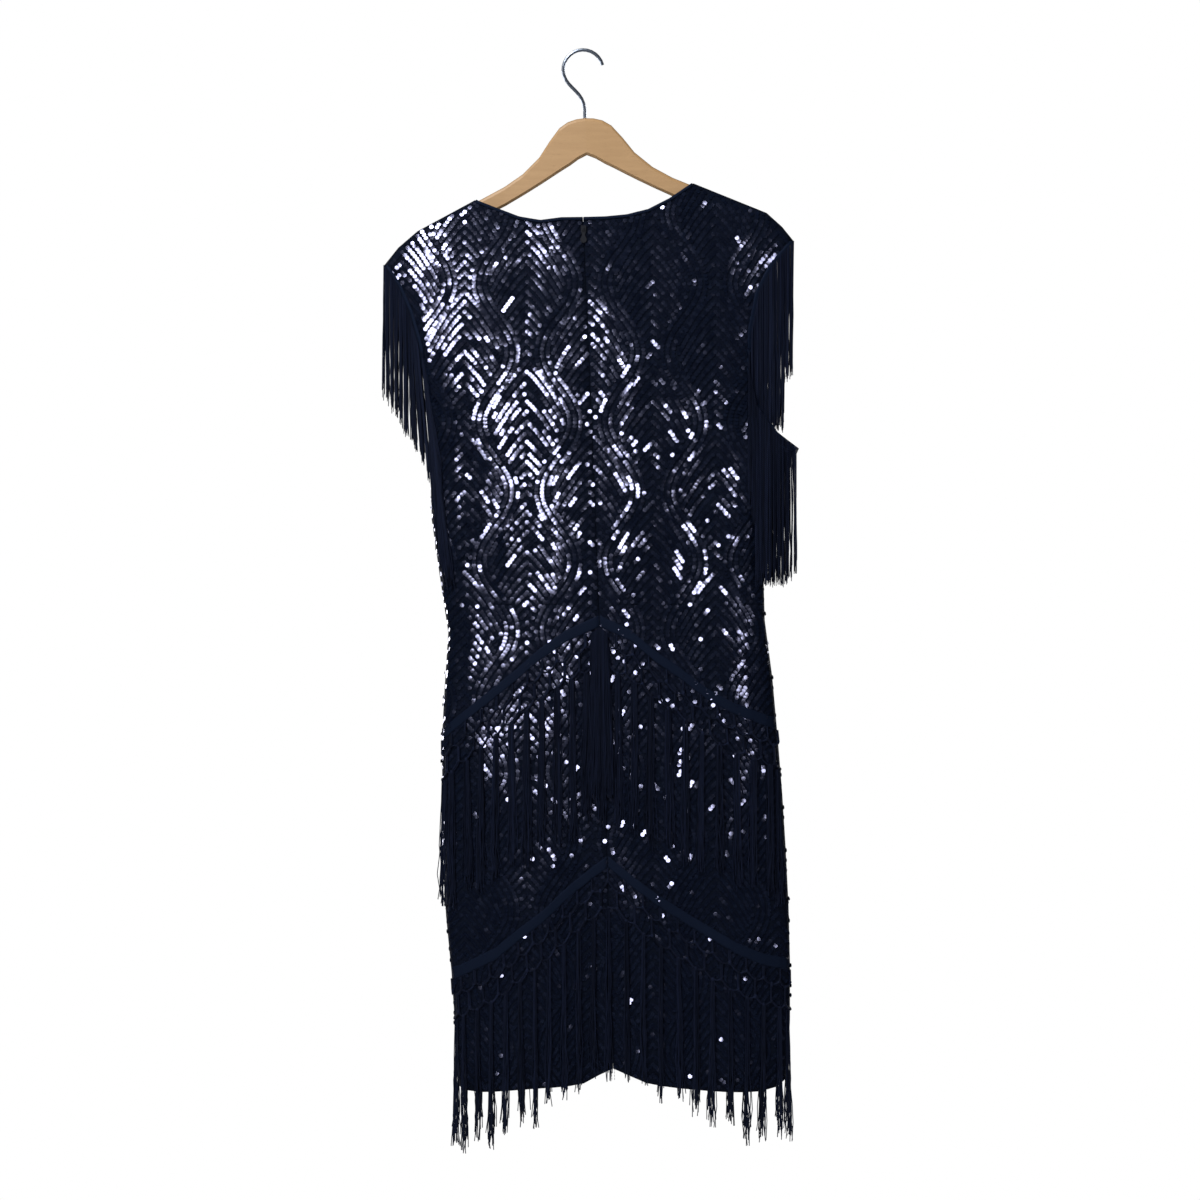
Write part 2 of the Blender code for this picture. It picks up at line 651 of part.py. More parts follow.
class Trim:
    """Tape, knotted net and tassels, drawn flat in pitches across and millimetres of drop."""

    def __init__(self, cloth, line, tips):
        self.cloth = cloth
        self.line = line
        self.tips = tips
        self.flat = Flat()

    def tape_height(self, pitch):
        """The height of the tape's middle line, found where the line crosses the column."""
        column = grid_column(pitch)
        height = self.line[len(self.line) // 2].height
        for _ in range(12):
            x = self.cloth.at_height(column, height, 0.0).x
            height = between(height, read(self.line, "height", x), 0.8)
        return height

    def spot(self, pitch, drop, lift=0.0):
        """A corner at a drop below the tape's lower edge; lift holds it further off the cloth."""
        pitch = min(max(pitch, -PITCHES), PITCHES)
        return self.flat.corner((round(pitch, 4), round(drop, 3)), (pitch, drop, lift))

    def height_of(self, place):
        pitch, drop, _ = place
        return self.tape_height(pitch) - TAPE_WIDTH / 2 - drop

    def near(self, place):
        height = self.height_of(place)
        return self.cloth.at_height(grid_column(place[0]), height, TRIM_GAP + place[2])

    def far(self, place):
        height = self.height_of(place)
        return self.cloth.at_height(grid_column(place[0]), height, TRIM_GAP + place[2] + TAPE_THICK)

    def ends(self, pitch, half):
        """The two sides of an upright cord, kept inside the side seams."""
        low = max(pitch - half, -PITCHES)
        high = min(pitch + half, PITCHES)
        if pitch == -PITCHES:
            high = low + 2 * half
        if pitch == PITCHES:
            low = high - 2 * half
        return low, high

    def upright(self, pitch, start, end):
        low, high = self.ends(pitch, CORD_HALF_WIDTH)
        self.flat.polygon(self.spot(low, start), self.spot(high, start),
                          self.spot(high, end), self.spot(low, end))

    def fork(self, pitch, drop, legs_down, sides):
        """A knot where an upright cord meets one or two slanting ones, at the knot's own level."""
        low, high = self.ends(pitch, CORD_HALF_WIDTH)
        middle = (low + high) / 2
        way = 1 if legs_down else -1
        tip = self.spot(middle, drop + way * CORD_HALF_WIDTH * 24)
        a = self.spot(low, drop)
        b = self.spot(high, drop)
        self.flat.polygon(a, b, tip)
        return {"left": (a, tip), "right": (b, tip)}

    def tape(self):
        stations = set()
        for pitch in range(-PITCHES, PITCHES + 1):
            stations.update(self.ends(pitch, CORD_HALF_WIDTH))
        stations.update((0.5 - PITCHES, PITCHES - 0.5))
        ordered = sorted(stations)
        for low, high in zip(ordered, ordered[1:]):
            self.flat.polygon(self.spot(low, -TAPE_WIDTH), self.spot(high, -TAPE_WIDTH),
                              self.spot(high, 0.0), self.spot(low, 0.0))

    def net(self):
        """Uprights at each pitch fork and meet half a pitch away, twice; the side edges stay closed."""
        fork_at = FIRST_DROP
        meet_at = fork_at + SLANT_DROP
        again_at = meet_at + KNOT_DROP
        end_at = again_at + SLANT_DROP
        ways = {}
        for pitch in range(-PITCHES, PITCHES + 1):
            self.upright(pitch, 0.0, fork_at)
            if abs(pitch) < PITCHES:
                ways["fork", pitch] = self.fork(pitch, fork_at, True, 2)
                ways["end", pitch] = self.fork(pitch, end_at, False, 2)
        for step in range(2 * PITCHES):
            pitch = step + 0.5 - PITCHES
            ways["meet", pitch] = self.fork(pitch, meet_at, False, 2)
            ways["again", pitch] = self.fork(pitch, again_at, True, 2)
            self.upright(pitch, meet_at, again_at)
        self.side_cords(ways, fork_at, end_at)
        for step in range(2 * PITCHES):
            middle = step + 0.5 - PITCHES
            for upper, lower in (("fork", "meet"), ("again", "end")):
                self.slants(ways, upper, lower, middle)

    def slants(self, ways, upper, lower, middle):
        """The two slanting cords that join a knot half way between pitches to its neighbours."""
        for hand, pitch in (("left", middle - 0.5), ("right", middle + 0.5)):
            other = "right" if hand == "left" else "left"
            if upper == "fork":
                high = ways[upper, pitch][other]
                low = ways[lower, middle][hand]
            else:
                high = ways[upper, middle][hand]
                low = ways[lower, pitch][other]
            self.flat.polygon(high[0], low[1], low[0], high[1])

    def side_cords(self, ways, fork_at, end_at):
        """The upright cord down each side edge, with a corner pair where a slant joins it."""
        rise = CORD_HALF_WIDTH * 24
        for pitch, hand in ((-PITCHES, "right"), (PITCHES, "left")):
            low, high = self.ends(pitch, CORD_HALF_WIDTH)
            inner, outer = (high, low) if hand == "right" else (low, high)
            drops = [fork_at, fork_at + rise, end_at - rise, end_at]
            for start, end in zip(drops, drops[1:]):
                self.flat.polygon(self.spot(outer, start), self.spot(inner, start),
                                  self.spot(inner, end), self.spot(outer, end))
            ways["fork", pitch] = {hand: (self.spot(inner, drops[0]), self.spot(inner, drops[1]))}
            ways["end", pitch] = {hand: (self.spot(inner, drops[3]), self.spot(inner, drops[2]))}

    def tassels(self):
        start = FIRST_DROP + 2 * SLANT_DROP + KNOT_DROP
        for pitch in range(-PITCHES, PITCHES + 1):
            x = self.cloth.at_height(grid_column(pitch), self.tape_height(pitch), 0.0).x
            top = self.tape_height(pitch) - TAPE_WIDTH / 2
            uneven = TIP_UNEVEN * math.sin(2.4 * pitch + 1.0)
            tip = top - read(self.tips, "height", x) + uneven
            low, high = self.ends(pitch, CORD_HALF_WIDTH)
            row = (self.spot(low, start), self.spot(high, start))
            for share, lift in ((0.12, 1.2), (0.55, TASSEL_LIFT), (1.0, TASSEL_LIFT)):
                low, high = self.ends(pitch, TASSEL_HALF_WIDTH)
                drop = between(start, tip, share)
                below = (self.spot(low, drop, lift), self.spot(high, drop, lift))
                self.flat.polygon(row[0], row[1], below[1], below[0])
                row = below

    def build(self, name, finish_material):
        self.tape()
        self.net()
        self.tassels()
        return self.flat.thicken(name, self.near, self.far, finish_material)


def fringe_roots(cloth, column):
    """Rows down an armhole's edge, one step across apart, and whether the opening is beside each."""
    row = cloth.last_row - 2.6
    previous = cloth.at(column, row, 0.0)
    way_back = -1 if column == 0 else 1
    roots = [(row, True)]
    travelled = 0.0
    dropped = 0.0
    while row > UNDERARM_ROW + 0.3:
        row -= 0.01
        point = cloth.at(column, row, 0.0)
        travelled += abs(point.x - previous.x)
        dropped += abs(point.z - previous.z)
        opening_beside = (point.x - previous.x) * way_back <= 0
        previous = point
        if travelled >= ROOT_STEP or dropped >= LONGEST_STEP:
            roots.append((row, opening_beside))
            travelled = 0.0
            dropped = 0.0
    return roots


def armhole_fringe(name, cloth, column, inner_column, finish_material):
    """The tape along an armhole's edge on the cloth's outside, with a lock from every other step."""
    roots = fringe_roots(cloth, column)
    way_in = 1 if inner_column > column else -1
    extra = UNDERARM_EXTRA if column > 0 else 0.0
    sections = []
    for row, _ in roots:
        near_gap = TRIM_GAP + extra * min(max(UNDERARM_ROW + 1.6 - row, 0.0), 1.0)
        far_gap = near_gap + FRINGE_THICK
        edge = cloth.at(column, row, 0.0)
        beside = cloth.at(inner_column, row, 0.0)
        inner = column + way_in * min(1.0, FRINGE_TAPE / (beside - edge).length)
        sections.append([cloth.at(column, row, near_gap), cloth.at(column, row, far_gap),
                         cloth.at(inner, row, far_gap), cloth.at(inner, row, near_gap)])
    points = [point for section in sections for point in section]
    faces = [[0, 1, 2, 3], [4 * len(roots) - 4 + i for i in (3, 2, 1, 0)]]
    hung = []
    for i in range(len(roots) - 1):
        beside = roots[i + 1][1]
        for corner in range(4):
            following = (corner + 1) % 4
            quad = [4 * i + corner, 4 * i + following, 4 * i + 4 + following, 4 * i + 4 + corner]
            is_root = corner == (0 if beside else 2)
            if is_root and has_room(points, quad, hung, beside, way_in):
                hang_lock(points, faces, quad, cloth, len(hung), beside)
            else:
                faces.append(quad)
    return solid(name, points, faces, finish_material)


def has_room(points, quad, hung, beside, way_in):
    """Whether a lock from this face keeps a lock's step across from those already hung near it."""
    middle = sum((points[i] for i in quad), Vector()) / 4
    higher = max(quad, key=lambda i: points[i].z)
    if beside and (points[higher].x - middle.x) * way_in > 0:
        return False
    if way_in > 0 and middle.z < LEFT_LOCKS_END:
        return False
    for other_x, other_beside in hung:
        if other_beside == beside and abs(other_x - middle.x) < LOCK_STEP:
            return False
    hung.append((middle.x, beside))
    return True


def lock_end(root, beside, number):
    """How low a lock hangs; at the right, the upper ones stop above the armhole's lower edge."""
    end = root.z - FRINGE_LENGTH + 6.0 * math.sin(1.7 * number)
    if beside and root.x > 0:
        lower = [row for row in RIGHT_ARMHOLE[:4]]
        xs = [row.x for row in reversed(lower)]
        heights = [row.height for row in reversed(lower)]
        i = min(max(bisect_right(xs, root.x) - 1, 0), len(xs) - 2)
        share = min(max((root.x - xs[i]) / (xs[i + 1] - xs[i]), 0.0), 1.0)
        end = max(end, between(heights[i], heights[i + 1], share) + 14.0)
    return end


def hang_lock(points, faces, root, cloth, number, beside):
    """A four-sided lock that leaves the tape's face and hangs straight down, clear of the cloth."""
    middle = sum((points[i] for i in root), Vector()) / 4
    upper = [i for i in root if points[i].z >= middle.z]
    upper_x = sum(points[i].x for i in upper) / len(upper)
    away = math.copysign(1.0, upper_x - middle.x)
    end = lock_end(middle, beside, number)
    centre = middle.x + (away * (LOCK_WIDTH / 2 + 0.4) if beside else 0.0)
    depth = abs(middle.y)
    if not beside:
        depth = max(depth, hang_depth(cloth, middle, end) + LOCK_THICK / 2)
    ring = list(root)
    for height, taper in ((middle.z - 4.0, 1.0), (end, 0.7)):
        half = LOCK_WIDTH / 2 * taper
        thick = LOCK_THICK / 2 * taper
        below = []
        for i in root:
            side_step = away * half if points[i].z >= middle.z else -away * half
            outwards = thick if abs(points[i].y) > abs(middle.y) else -thick
            lowest = min(points[k].z for k in root)
            z = min(height, lowest - 3.0)
            below.append(len(points))
            points.append(Vector((centre + side_step, cloth.side * (depth + outwards), z)))
        for k in range(4):
            following = (k + 1) % 4
            faces.append([ring[k], ring[following], below[following], below[k]])
        ring = below
    faces.append(ring)


def hang_depth(cloth, root, end):
    """The furthest that the cloth stands out, straight below a lock's root, over its length."""
    deepest = 0.0
    for step in range(17):
        height = between(root.z, end, step / 16)
        outline = [cloth.at_height(column, height, TRIM_GAP) for column in range(LAST_COLUMN + 1)]
        for a, b in zip(outline, outline[1:]):
            for x in (root.x - LOCK_WIDTH / 2, root.x, root.x + LOCK_WIDTH / 2):
                if a.x <= x <= b.x:
                    share = (x - a.x) / max(b.x - a.x, 1e-6)
                    deepest = max(deepest, abs(a.lerp(b, share).y))
    return deepest


def neck_binding(name, cloth, first, last, shift_first, shift_last, finish_material):
    """A narrow bound edge on the outside of the neckline, between two columns."""
    low_row = cloth.last_row - 2
    points = []
    for out in (BINDING_GAP + BINDING_THICK, BINDING_GAP):
        for column in range(first, last + 1):
            shift = shift_first if column == first else shift_last if column == last else 0.0
            for row in (low_row, cloth.last_row):
                points.append(cloth.at(column, row, out) + Vector((shift, 0.0, 0.0)))
    return solid(name, points, grid_wall_faces(last - first + 1, 2), finish_material)


def hanger_wood(finish_material):
    """The board: a rounded section at each row of the table, mirrored and turned by the tilt."""
    mirrored = [row._replace(along=-row.along) for row in reversed(HANGER_ROWS[1:])]
    rows = mirrored + HANGER_ROWS
    points = []
    for row in rows:
        hub_share = max(0.0, 1 - abs(row.along) / 97.0)
        thick = between(ARM_HALF_THICK, HUB_HALF_THICK, hub_share)
        edge = min(EDGE_ROUND, (row.top - row.bottom) * 0.4)
        low_edge = edge * 0.6
        outline = [(thick - edge, row.top), (thick - edge * 0.3, row.top - edge * 0.3),
                   (thick, row.top - edge), (thick, row.bottom + low_edge),
                   (thick - low_edge, row.bottom)]
        ring = [(-y, z) for y, z in outline] + list(reversed(outline))
        for y, z in ring:
            flat = hanger_point(row.along, z)
            points.append(Vector((flat.x, y, flat.y)))
    size = 10
    faces = [list(range(size)), [len(points) - 1 - i for i in range(size)]]
    for i in range(len(rows) - 1):
        for k in range(size):
            following = (k + 1) % size
            start = i * size
            faces.append([start + k, start + following, start + size + following, start + size + k])
    board = solid("hanger_wood", points, faces, finish_material)
    bore = stem_bore()
    cut = board.modifiers.new("stem_bore", "BOOLEAN")
    cut.operation = "DIFFERENCE"
    cut.object = bore
    return board


def stem_bore():
    """The blind hole for the hook's stem, as a hidden cutter."""
    mesh = bpy.data.meshes.new("stem_bore")
    shape = bmesh.new()
    radius = (WIRE_RADIUS + STEM_CLEARANCE) * MM
    depth = (STEM_DEPTH + STEM_CLEARANCE + 10.0) * MM
    bmesh.ops.create_cone(shape, cap_ends=True, segments=12, radius1=radius, radius2=radius, depth=depth)
    shape.to_mesh(mesh)
    shape.free()
    bore = bpy.data.objects.new("stem_bore_cutter", mesh)
    bore.location = Vector((HANGER_PIVOT_X, 0.0, HANGER_PIVOT_Z - STEM_DEPTH - STEM_CLEARANCE)) * MM
    bore.location.z += depth / 2
    bore.hide_render = True
    bore.display_type = "WIRE"
    bpy.context.scene.collection.objects.link(bore)
    return bore


def hook_path():
    """The wire's middle line: from the open tip over the crown, down the bend and into the wood."""
    centre = Vector((0.0, 0.0, WIRE_RADIUS - CROWN_RADIUS))
    path = []
    for step in range(15):
        angle = math.radians(between(14.0, 196.0, step / 14))
        path.append(centre + CROWN_RADIUS * Vector((math.cos(angle), 0.0, math.sin(angle))))
    start = path[-1]
    heading = Vector((0.27, 0.0, -0.96))
    stem_top = Vector((HANGER_PIVOT_X, 0.0, HANGER_PIVOT_Z + 9.0))
    first_pull = start + heading * 16.0
    last_pull = stem_top + Vector((-1.0, 0.0, 22.0))
    for step in range(1, 9):
        t = step / 8
        point = start * (1 - t) ** 3 + first_pull * 3 * t * (1 - t) ** 2
        point += last_pull * 3 * t**2 * (1 - t) + stem_top * t**3
        path.append(point)
    path.append(Vector((HANGER_PIVOT_X, 0.0, HANGER_PIVOT_Z - STEM_DEPTH)))
    return path


def hanger_hook(finish_material):
    wire = bpy.data.curves.new("hanger_hook", "CURVE")
    wire.dimensions = "3D"
    wire.bevel_depth = WIRE_RADIUS * MM
    wire.bevel_resolution = 2
    wire.use_fill_caps = True
    path = hook_path()
    spline = wire.splines.new("POLY")
    spline.points.add(len(path) - 1)
    for point, place in zip(spline.points, path):
        point.co = (*(place * MM), 1.0)
    made = bpy.data.objects.new("hanger_hook", wire)
    made.data.materials.append(finish_material)
    bpy.context.scene.collection.objects.link(made)
    return made


def prism(name, outline, low_x, high_x, finish_material):
    """A solid of an outline in the Y-Z plane, between two values of x."""
    points = [Vector((low_x, y, z)) for y, z in outline]
    points += [Vector((high_x, y, z)) for y, z in outline]
    count = len(outline)
    faces = [list(range(count)), list(range(2 * count - 1, count - 1, -1))]
    for i in range(count):
        following = (i + 1) % count
        faces.append([i, following, following + count, i + count])
    return solid(name, points, faces, finish_material)


def hinge_place(back):
    """The middle of the pull tab's crossbar, which the slider's bridge holds."""
    surface = min(
        back.at_height(MIDDLE, SLIDER_HEIGHT_AT + part * SLIDER_HEIGHT / 2, 0.0).y for part in (-1, 1)
    )
    face = surface - TRIM_GAP - SLIDER_THICK
    x = back.at_height(MIDDLE, SLIDER_HEIGHT_AT, 0.0).x
    return Vector((x, face - BRIDGE_WINDOW / 2, SLIDER_HEIGHT_AT))


def zip_slider(back, finish_material):
    """The slider on the seam: a bevelled body, with a bridge round the pull tab's crossbar."""
    hinge = hinge_place(back)
    face = hinge.y + BRIDGE_WINDOW / 2
    half = SLIDER_HEIGHT / 2
    bevel = 0.6
    outline = [(face, hinge.z - half + bevel), (face, hinge.z + half - bevel),
               (face + bevel, hinge.z + half), (face + SLIDER_THICK, hinge.z + half),
               (face + SLIDER_THICK, hinge.z - half), (face + bevel, hinge.z - half)]
    body = prism("zip_slider", outline, hinge.x - SLIDER_WIDTH / 2, hinge.x + SLIDER_WIDTH / 2,
                 finish_material)
    gap = BRIDGE_WINDOW / 2
    outer = hinge.y - gap - BRIDGE_BAR
    sunk = face + 0.8
    arch = [(sunk, hinge.z - gap - BRIDGE_POST), (outer, hinge.z - gap - BRIDGE_POST),
            (outer, hinge.z + gap + BRIDGE_POST), (sunk, hinge.z + gap + BRIDGE_POST),
            (sunk, hinge.z + gap), (outer + BRIDGE_BAR, hinge.z + gap),
            (outer + BRIDGE_BAR, hinge.z - gap), (sunk, hinge.z - gap)]
    bridge = prism("zip_bridge", arch, hinge.x - BRIDGE_WIDTH / 2, hinge.x + BRIDGE_WIDTH / 2,
                   finish_material)
    bridge.hide_render = True
    bridge.display_type = "WIRE"
    join = body.modifiers.new("bridge", "BOOLEAN")
    join.operation = "UNION"
    join.object = bridge
    return body


def tab_outline():
    """The tab's outer edge as (x, drop), from the crossbar's top round the drop and back."""
    half = TAB_THICK / 2
    drop_middle = TAB_LENGTH - TAB_DROP_RADIUS
    right = [(TAB_HALF_WIDTH, -half), (TAB_HALF_WIDTH, TAB_WINDOW_END), (1.7, 7.0)]
    for step in range(5):
        angle = math.radians(between(-20.0, 90.0, step / 4))
        right.append((TAB_DROP_RADIUS * math.cos(angle), drop_middle + TAB_DROP_RADIUS * math.sin(angle)))
    left = [(-x, drop) for x, drop in reversed(right[:-1])]
    return right + left


def zip_pull(back, finish_material):
    """The teardrop pull tab, on an object whose origin is its hinge; its window rides the bridge."""
    hinge = hinge_place(back)
    outer = tab_outline()
    count = len(outer)
    half = TAB_THICK / 2
    window = [(TAB_WINDOW_HALF, half), (TAB_WINDOW_HALF, TAB_WINDOW_END),
              (-TAB_WINDOW_HALF, TAB_WINDOW_END), (-TAB_WINDOW_HALF, half)]
    mesh = bpy.data.meshes.new("zip_pull")
    shape = bmesh.new()
    layers = []
    for y in (-half, half):
        rim = [shape.verts.new(Vector((x, y, -drop)) * MM) for x, drop in outer]
        hole = [shape.verts.new(Vector((x, y, -drop)) * MM) for x, drop in window]
        top_right, end_right = rim[0], rim[1]
        top_left, end_left = rim[-1], rim[-2]
        shape.faces.new([top_left, top_right, hole[0], hole[3]])
        shape.faces.new([top_right, end_right, hole[1], hole[0]])
        shape.faces.new([end_left, top_left, hole[3], hole[2]])
        shape.faces.new([hole[2], hole[1], end_right, end_left])
        shape.faces.new(rim[1:count - 1])
        layers.append((rim, hole))
    for near, far in zip(layers[0], layers[1]):
        for i in range(len(near)):
            following = (i + 1) % len(near)
            shape.faces.new([near[i], near[following], far[following], far[i]])
    bmesh.ops.recalc_face_normals(shape, faces=shape.faces[:])
    shape.to_mesh(mesh)
    shape.free()
    made = bpy.data.objects.new("zip_pull", mesh)
    made.location = hinge * MM
    made.data.materials.append(finish_material)
    bpy.context.scene.collection.objects.link(made)
    return made


def smooth(objects, angle):
    """Shades round pieces smooth, with their real corners kept sharp."""
    for made in objects:
        if made.type == "MESH":
            made.data.shade_smooth()
            made.data.set_sharp_from_angle(angle=math.radians(angle))


def build_dress():
    cloth_finish = material("sequinned_mesh", CLOTH)
    braid_finish = material("braid_and_threads", BRAID)
    beech_finish = material("beech", BEECH)
    wire_finish = material("bright_wire", BRIGHT_WIRE)
    zip_finish = material("zip_metal", ZIP_METAL)
    back = Cloth(BACK)
    front = Cloth(FRONT)
    neck_first = SHOULDER_COLUMNS + 1
    neck_last = LAST_COLUMN - SHOULDER_COLUMNS - 1
    walls = [
        panel("back_left", back, 0, MIDDLE, 0.0, -HALF_GAP, cloth_finish),
        panel("back_right", back, MIDDLE, LAST_COLUMN, HALF_GAP, 0.0, cloth_finish),
        panel("front", front, 0, LAST_COLUMN, 0.0, 0.0, cloth_finish),
        neck_binding("neck_binding_back_left", back, neck_first, MIDDLE, 0.0, -HALF_GAP, braid_finish),
        neck_binding("neck_binding_back_right", back, MIDDLE, neck_last, HALF_GAP, 0.0, braid_finish),
        neck_binding("neck_binding_front", front, neck_first, neck_last, 0.0, 0.0, braid_finish),
    ]
    for cloth, word in ((back, "back"), (front, "front")):
        Trim(cloth, UPPER_LINE, UPPER_TIPS).build("upper_trim_" + word, braid_finish)
        Trim(cloth, LOWER_LINE, LOWER_TIPS).build("lower_trim_" + word, braid_finish)
        armhole_fringe("fringe_left_" + word, cloth, 0, 1, braid_finish)
        armhole_fringe("fringe_right_" + word, cloth, LAST_COLUMN, LAST_COLUMN - 1, braid_finish)
    smooth(walls + [hanger_wood(beech_finish), hanger_hook(wire_finish)], 40.0)
    zip_slider(back, zip_finish)
    zip_pull(back, zip_finish)


clear_scene()
build_dress()
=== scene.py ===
# %% [markdown]
# # A sequinned party dress on a beech hanger
#
# The dress hangs flat, seen from behind, and everything below is built in metres in one shared frame.
# The frame comes first, because the hanger and the solid walls of the cloth are already in it.

# %% Load the frame
import math
import random
from bisect import bisect_right
from collections import namedtuple

import bmesh
import bpy
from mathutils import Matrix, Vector, noise
from mathutils.bvhtree import BVHTree


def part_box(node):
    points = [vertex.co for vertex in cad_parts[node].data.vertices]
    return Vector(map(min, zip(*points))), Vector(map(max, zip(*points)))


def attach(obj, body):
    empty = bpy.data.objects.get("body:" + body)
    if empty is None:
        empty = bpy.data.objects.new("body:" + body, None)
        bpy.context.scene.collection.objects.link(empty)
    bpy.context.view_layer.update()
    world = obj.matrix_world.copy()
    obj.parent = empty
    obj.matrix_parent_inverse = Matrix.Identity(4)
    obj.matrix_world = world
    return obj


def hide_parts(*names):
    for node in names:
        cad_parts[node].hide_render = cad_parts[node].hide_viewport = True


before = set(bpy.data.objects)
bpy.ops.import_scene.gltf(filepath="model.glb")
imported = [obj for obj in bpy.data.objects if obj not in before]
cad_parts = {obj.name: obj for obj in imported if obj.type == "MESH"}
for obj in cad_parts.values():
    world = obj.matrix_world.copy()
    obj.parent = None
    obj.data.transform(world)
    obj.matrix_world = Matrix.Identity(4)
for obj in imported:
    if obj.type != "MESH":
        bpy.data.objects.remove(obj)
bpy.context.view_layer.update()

MM = 0.001
BACK = -1
FRONT = 1

# %% [markdown]
# ## Small helpers for nodes, materials and pieces
#
# A designer picks colours as sRGB hex, but a shader wants linear light, so one function converts them.
# The others add a node, set it up and link it in one line, which keeps each material short.

# %% Colour and node helpers


def hex_colour(code):
    """An sRGB hex colour as linear red, green, blue and alpha."""
    linear = []
    for i in (0, 2, 4):
        share = int(code[i:i + 2], 16) / 255
        linear.append(share / 12.92 if share <= 0.04045 else ((share + 0.055) / 1.055) ** 2.4)
    return (*linear, 1.0)


def add_node(tree, kind, settings=None, values=None, links=None):
    """Adds a node: settings are its properties, values its inputs, and links the sockets that feed it.

    A link may also name a node, which stands for that node's first output.
    """
    node = tree.nodes.new(kind)
    for name, value in (settings or {}).items():
        setattr(node, name, value)
    for name, value in (values or {}).items():
        node.inputs[name].default_value = value
    for name, source in (links or {}).items():
        tree.links.new(getattr(source, "outputs", [source])[0], node.inputs[name])
    return node


def new_material(name, **values):
    """A material with a Principled shader, and its node tree."""
    made = bpy.data.materials.new(name)
    made.use_nodes = True
    tree = made.node_tree
    shader = tree.nodes["Principled BSDF"]
    for socket, value in values.items():
        shader.inputs[socket.replace("_", " ")].default_value = value
    return made, tree, shader


def object_place(tree):
    """Places on the object itself, for a pattern that stays with it."""
    return add_node(tree, "ShaderNodeTexCoord").outputs["Object"]


def two_tones(tree, source, dark, light, dark_at=0.0, light_at=1.0):
    """A colour that runs between two hex colours as source rises."""
    ramp = add_node(tree, "ShaderNodeValToRGB", links={"Fac": source})
    for stop, code, at in zip(ramp.color_ramp.elements, (dark, light), (dark_at, light_at)):
        stop.position = at
        stop.color = hex_colour(code)
    return ramp.outputs["Color"]


def set_roughness(tree, shader, source, least, most):
    """Roughness that runs from least to most as source rises."""
    gloss = add_node(tree, "ShaderNodeMapRange", values={"To Min": least, "To Max": most},
                     links={"Value": source})
    tree.links.new(gloss.outputs["Result"], shader.inputs["Roughness"])


def set_bump(tree, shader, source, strength, distance):
    """Fine relief on the surface; the distance is in metres."""
    bump = add_node(tree, "ShaderNodeBump", values={"Strength": strength, "Distance": distance},
                    links={"Height": source})
    tree.links.new(bump.outputs["Normal"], shader.inputs["Normal"])


def times(tree, a, b):
    """The product of two sockets."""
    return add_node(tree, "ShaderNodeMath", {"operation": "MULTIPLY"}, links={0: a, 1: b}).outputs[0]


def plus(tree, a, b):
    """The sum of two nodes' vectors."""
    return add_node(tree, "ShaderNodeVectorMath", {"operation": "ADD"}, links={0: a, 1: b})


def smooth_noise(*place):
    """Noise that changes smoothly from place to place, about -1 to 1."""
    return noise.noise(Vector(place))


def link_object(name, data):
    """A new object in the scene that shows a mesh, lamp or camera."""
    made = bpy.data.objects.new(name, data)
    bpy.context.scene.collection.objects.link(made)
    return made


print("helpers ready")

# %% [markdown]
# ## Sequins
#
# A sequin is a disc punched from thin PVC film and vacuum-coated, so it is glossy with a faint violet
# cast. Each disc is a touch lighter or darker than its neighbours, which a random number per loose
# island of the mesh gives.

# %% Punched PVC sequin


def sequin_material():
    made, tree, shader = new_material("punched_pvc_sequin", IOR=1.9, Specular_IOR_Level=0.8,
                                      Specular_Tint=hex_colour("D4D6FF"))
    each_disc = add_node(tree, "ShaderNodeNewGeometry").outputs["Random Per Island"]
    tree.links.new(two_tones(tree, each_disc, "060B18", "0C1424"), shader.inputs["Base Color"])
    set_roughness(tree, shader, each_disc, 0.1, 0.17)
    return made


SEQUIN = sequin_material()
print("material:", SEQUIN.name)

# %% [markdown]
# ## The ground the sequins are sewn to
#
# Knitted nylon mesh over a dark lining, both matt and near-black navy. Its holes are about 1 mm, too
# fine to show here, so they are drawn at 1.6 mm.

# %% Knitted nylon mesh
MESH_PITCH = 1.6


def mesh_material():
    made, tree, shader = new_material("knitted_nylon_mesh", Roughness=0.9, Specular_IOR_Level=0.08)
    cells = add_node(tree, "ShaderNodeTexVoronoi", values={"Scale": 1 / (MESH_PITCH * MM)},
                     links={"Vector": object_place(tree)}).outputs["Distance"]
    tree.links.new(two_tones(tree, cells, "070C1A", "111827"), shader.inputs["Base Color"])
    set_bump(tree, shader, cells, 0.5, 0.0004)
    return made


MESH_CLOTH = mesh_material()
print("material:", MESH_CLOTH.name)

# %% [markdown]
# ## Threads and braid
#
# The fringe, net and tassels are twisted rayon. Rayon has a soft shine along the thread, and the twist
# shows as a fine slanting line, which a wave along the thread's own length stands in for: as relief, and
# as painted shade in the grooves between its turns. Each thread also has its own tone, picked at random.

# %% Twisted rayon thread
TWIST_PITCH = 1.8


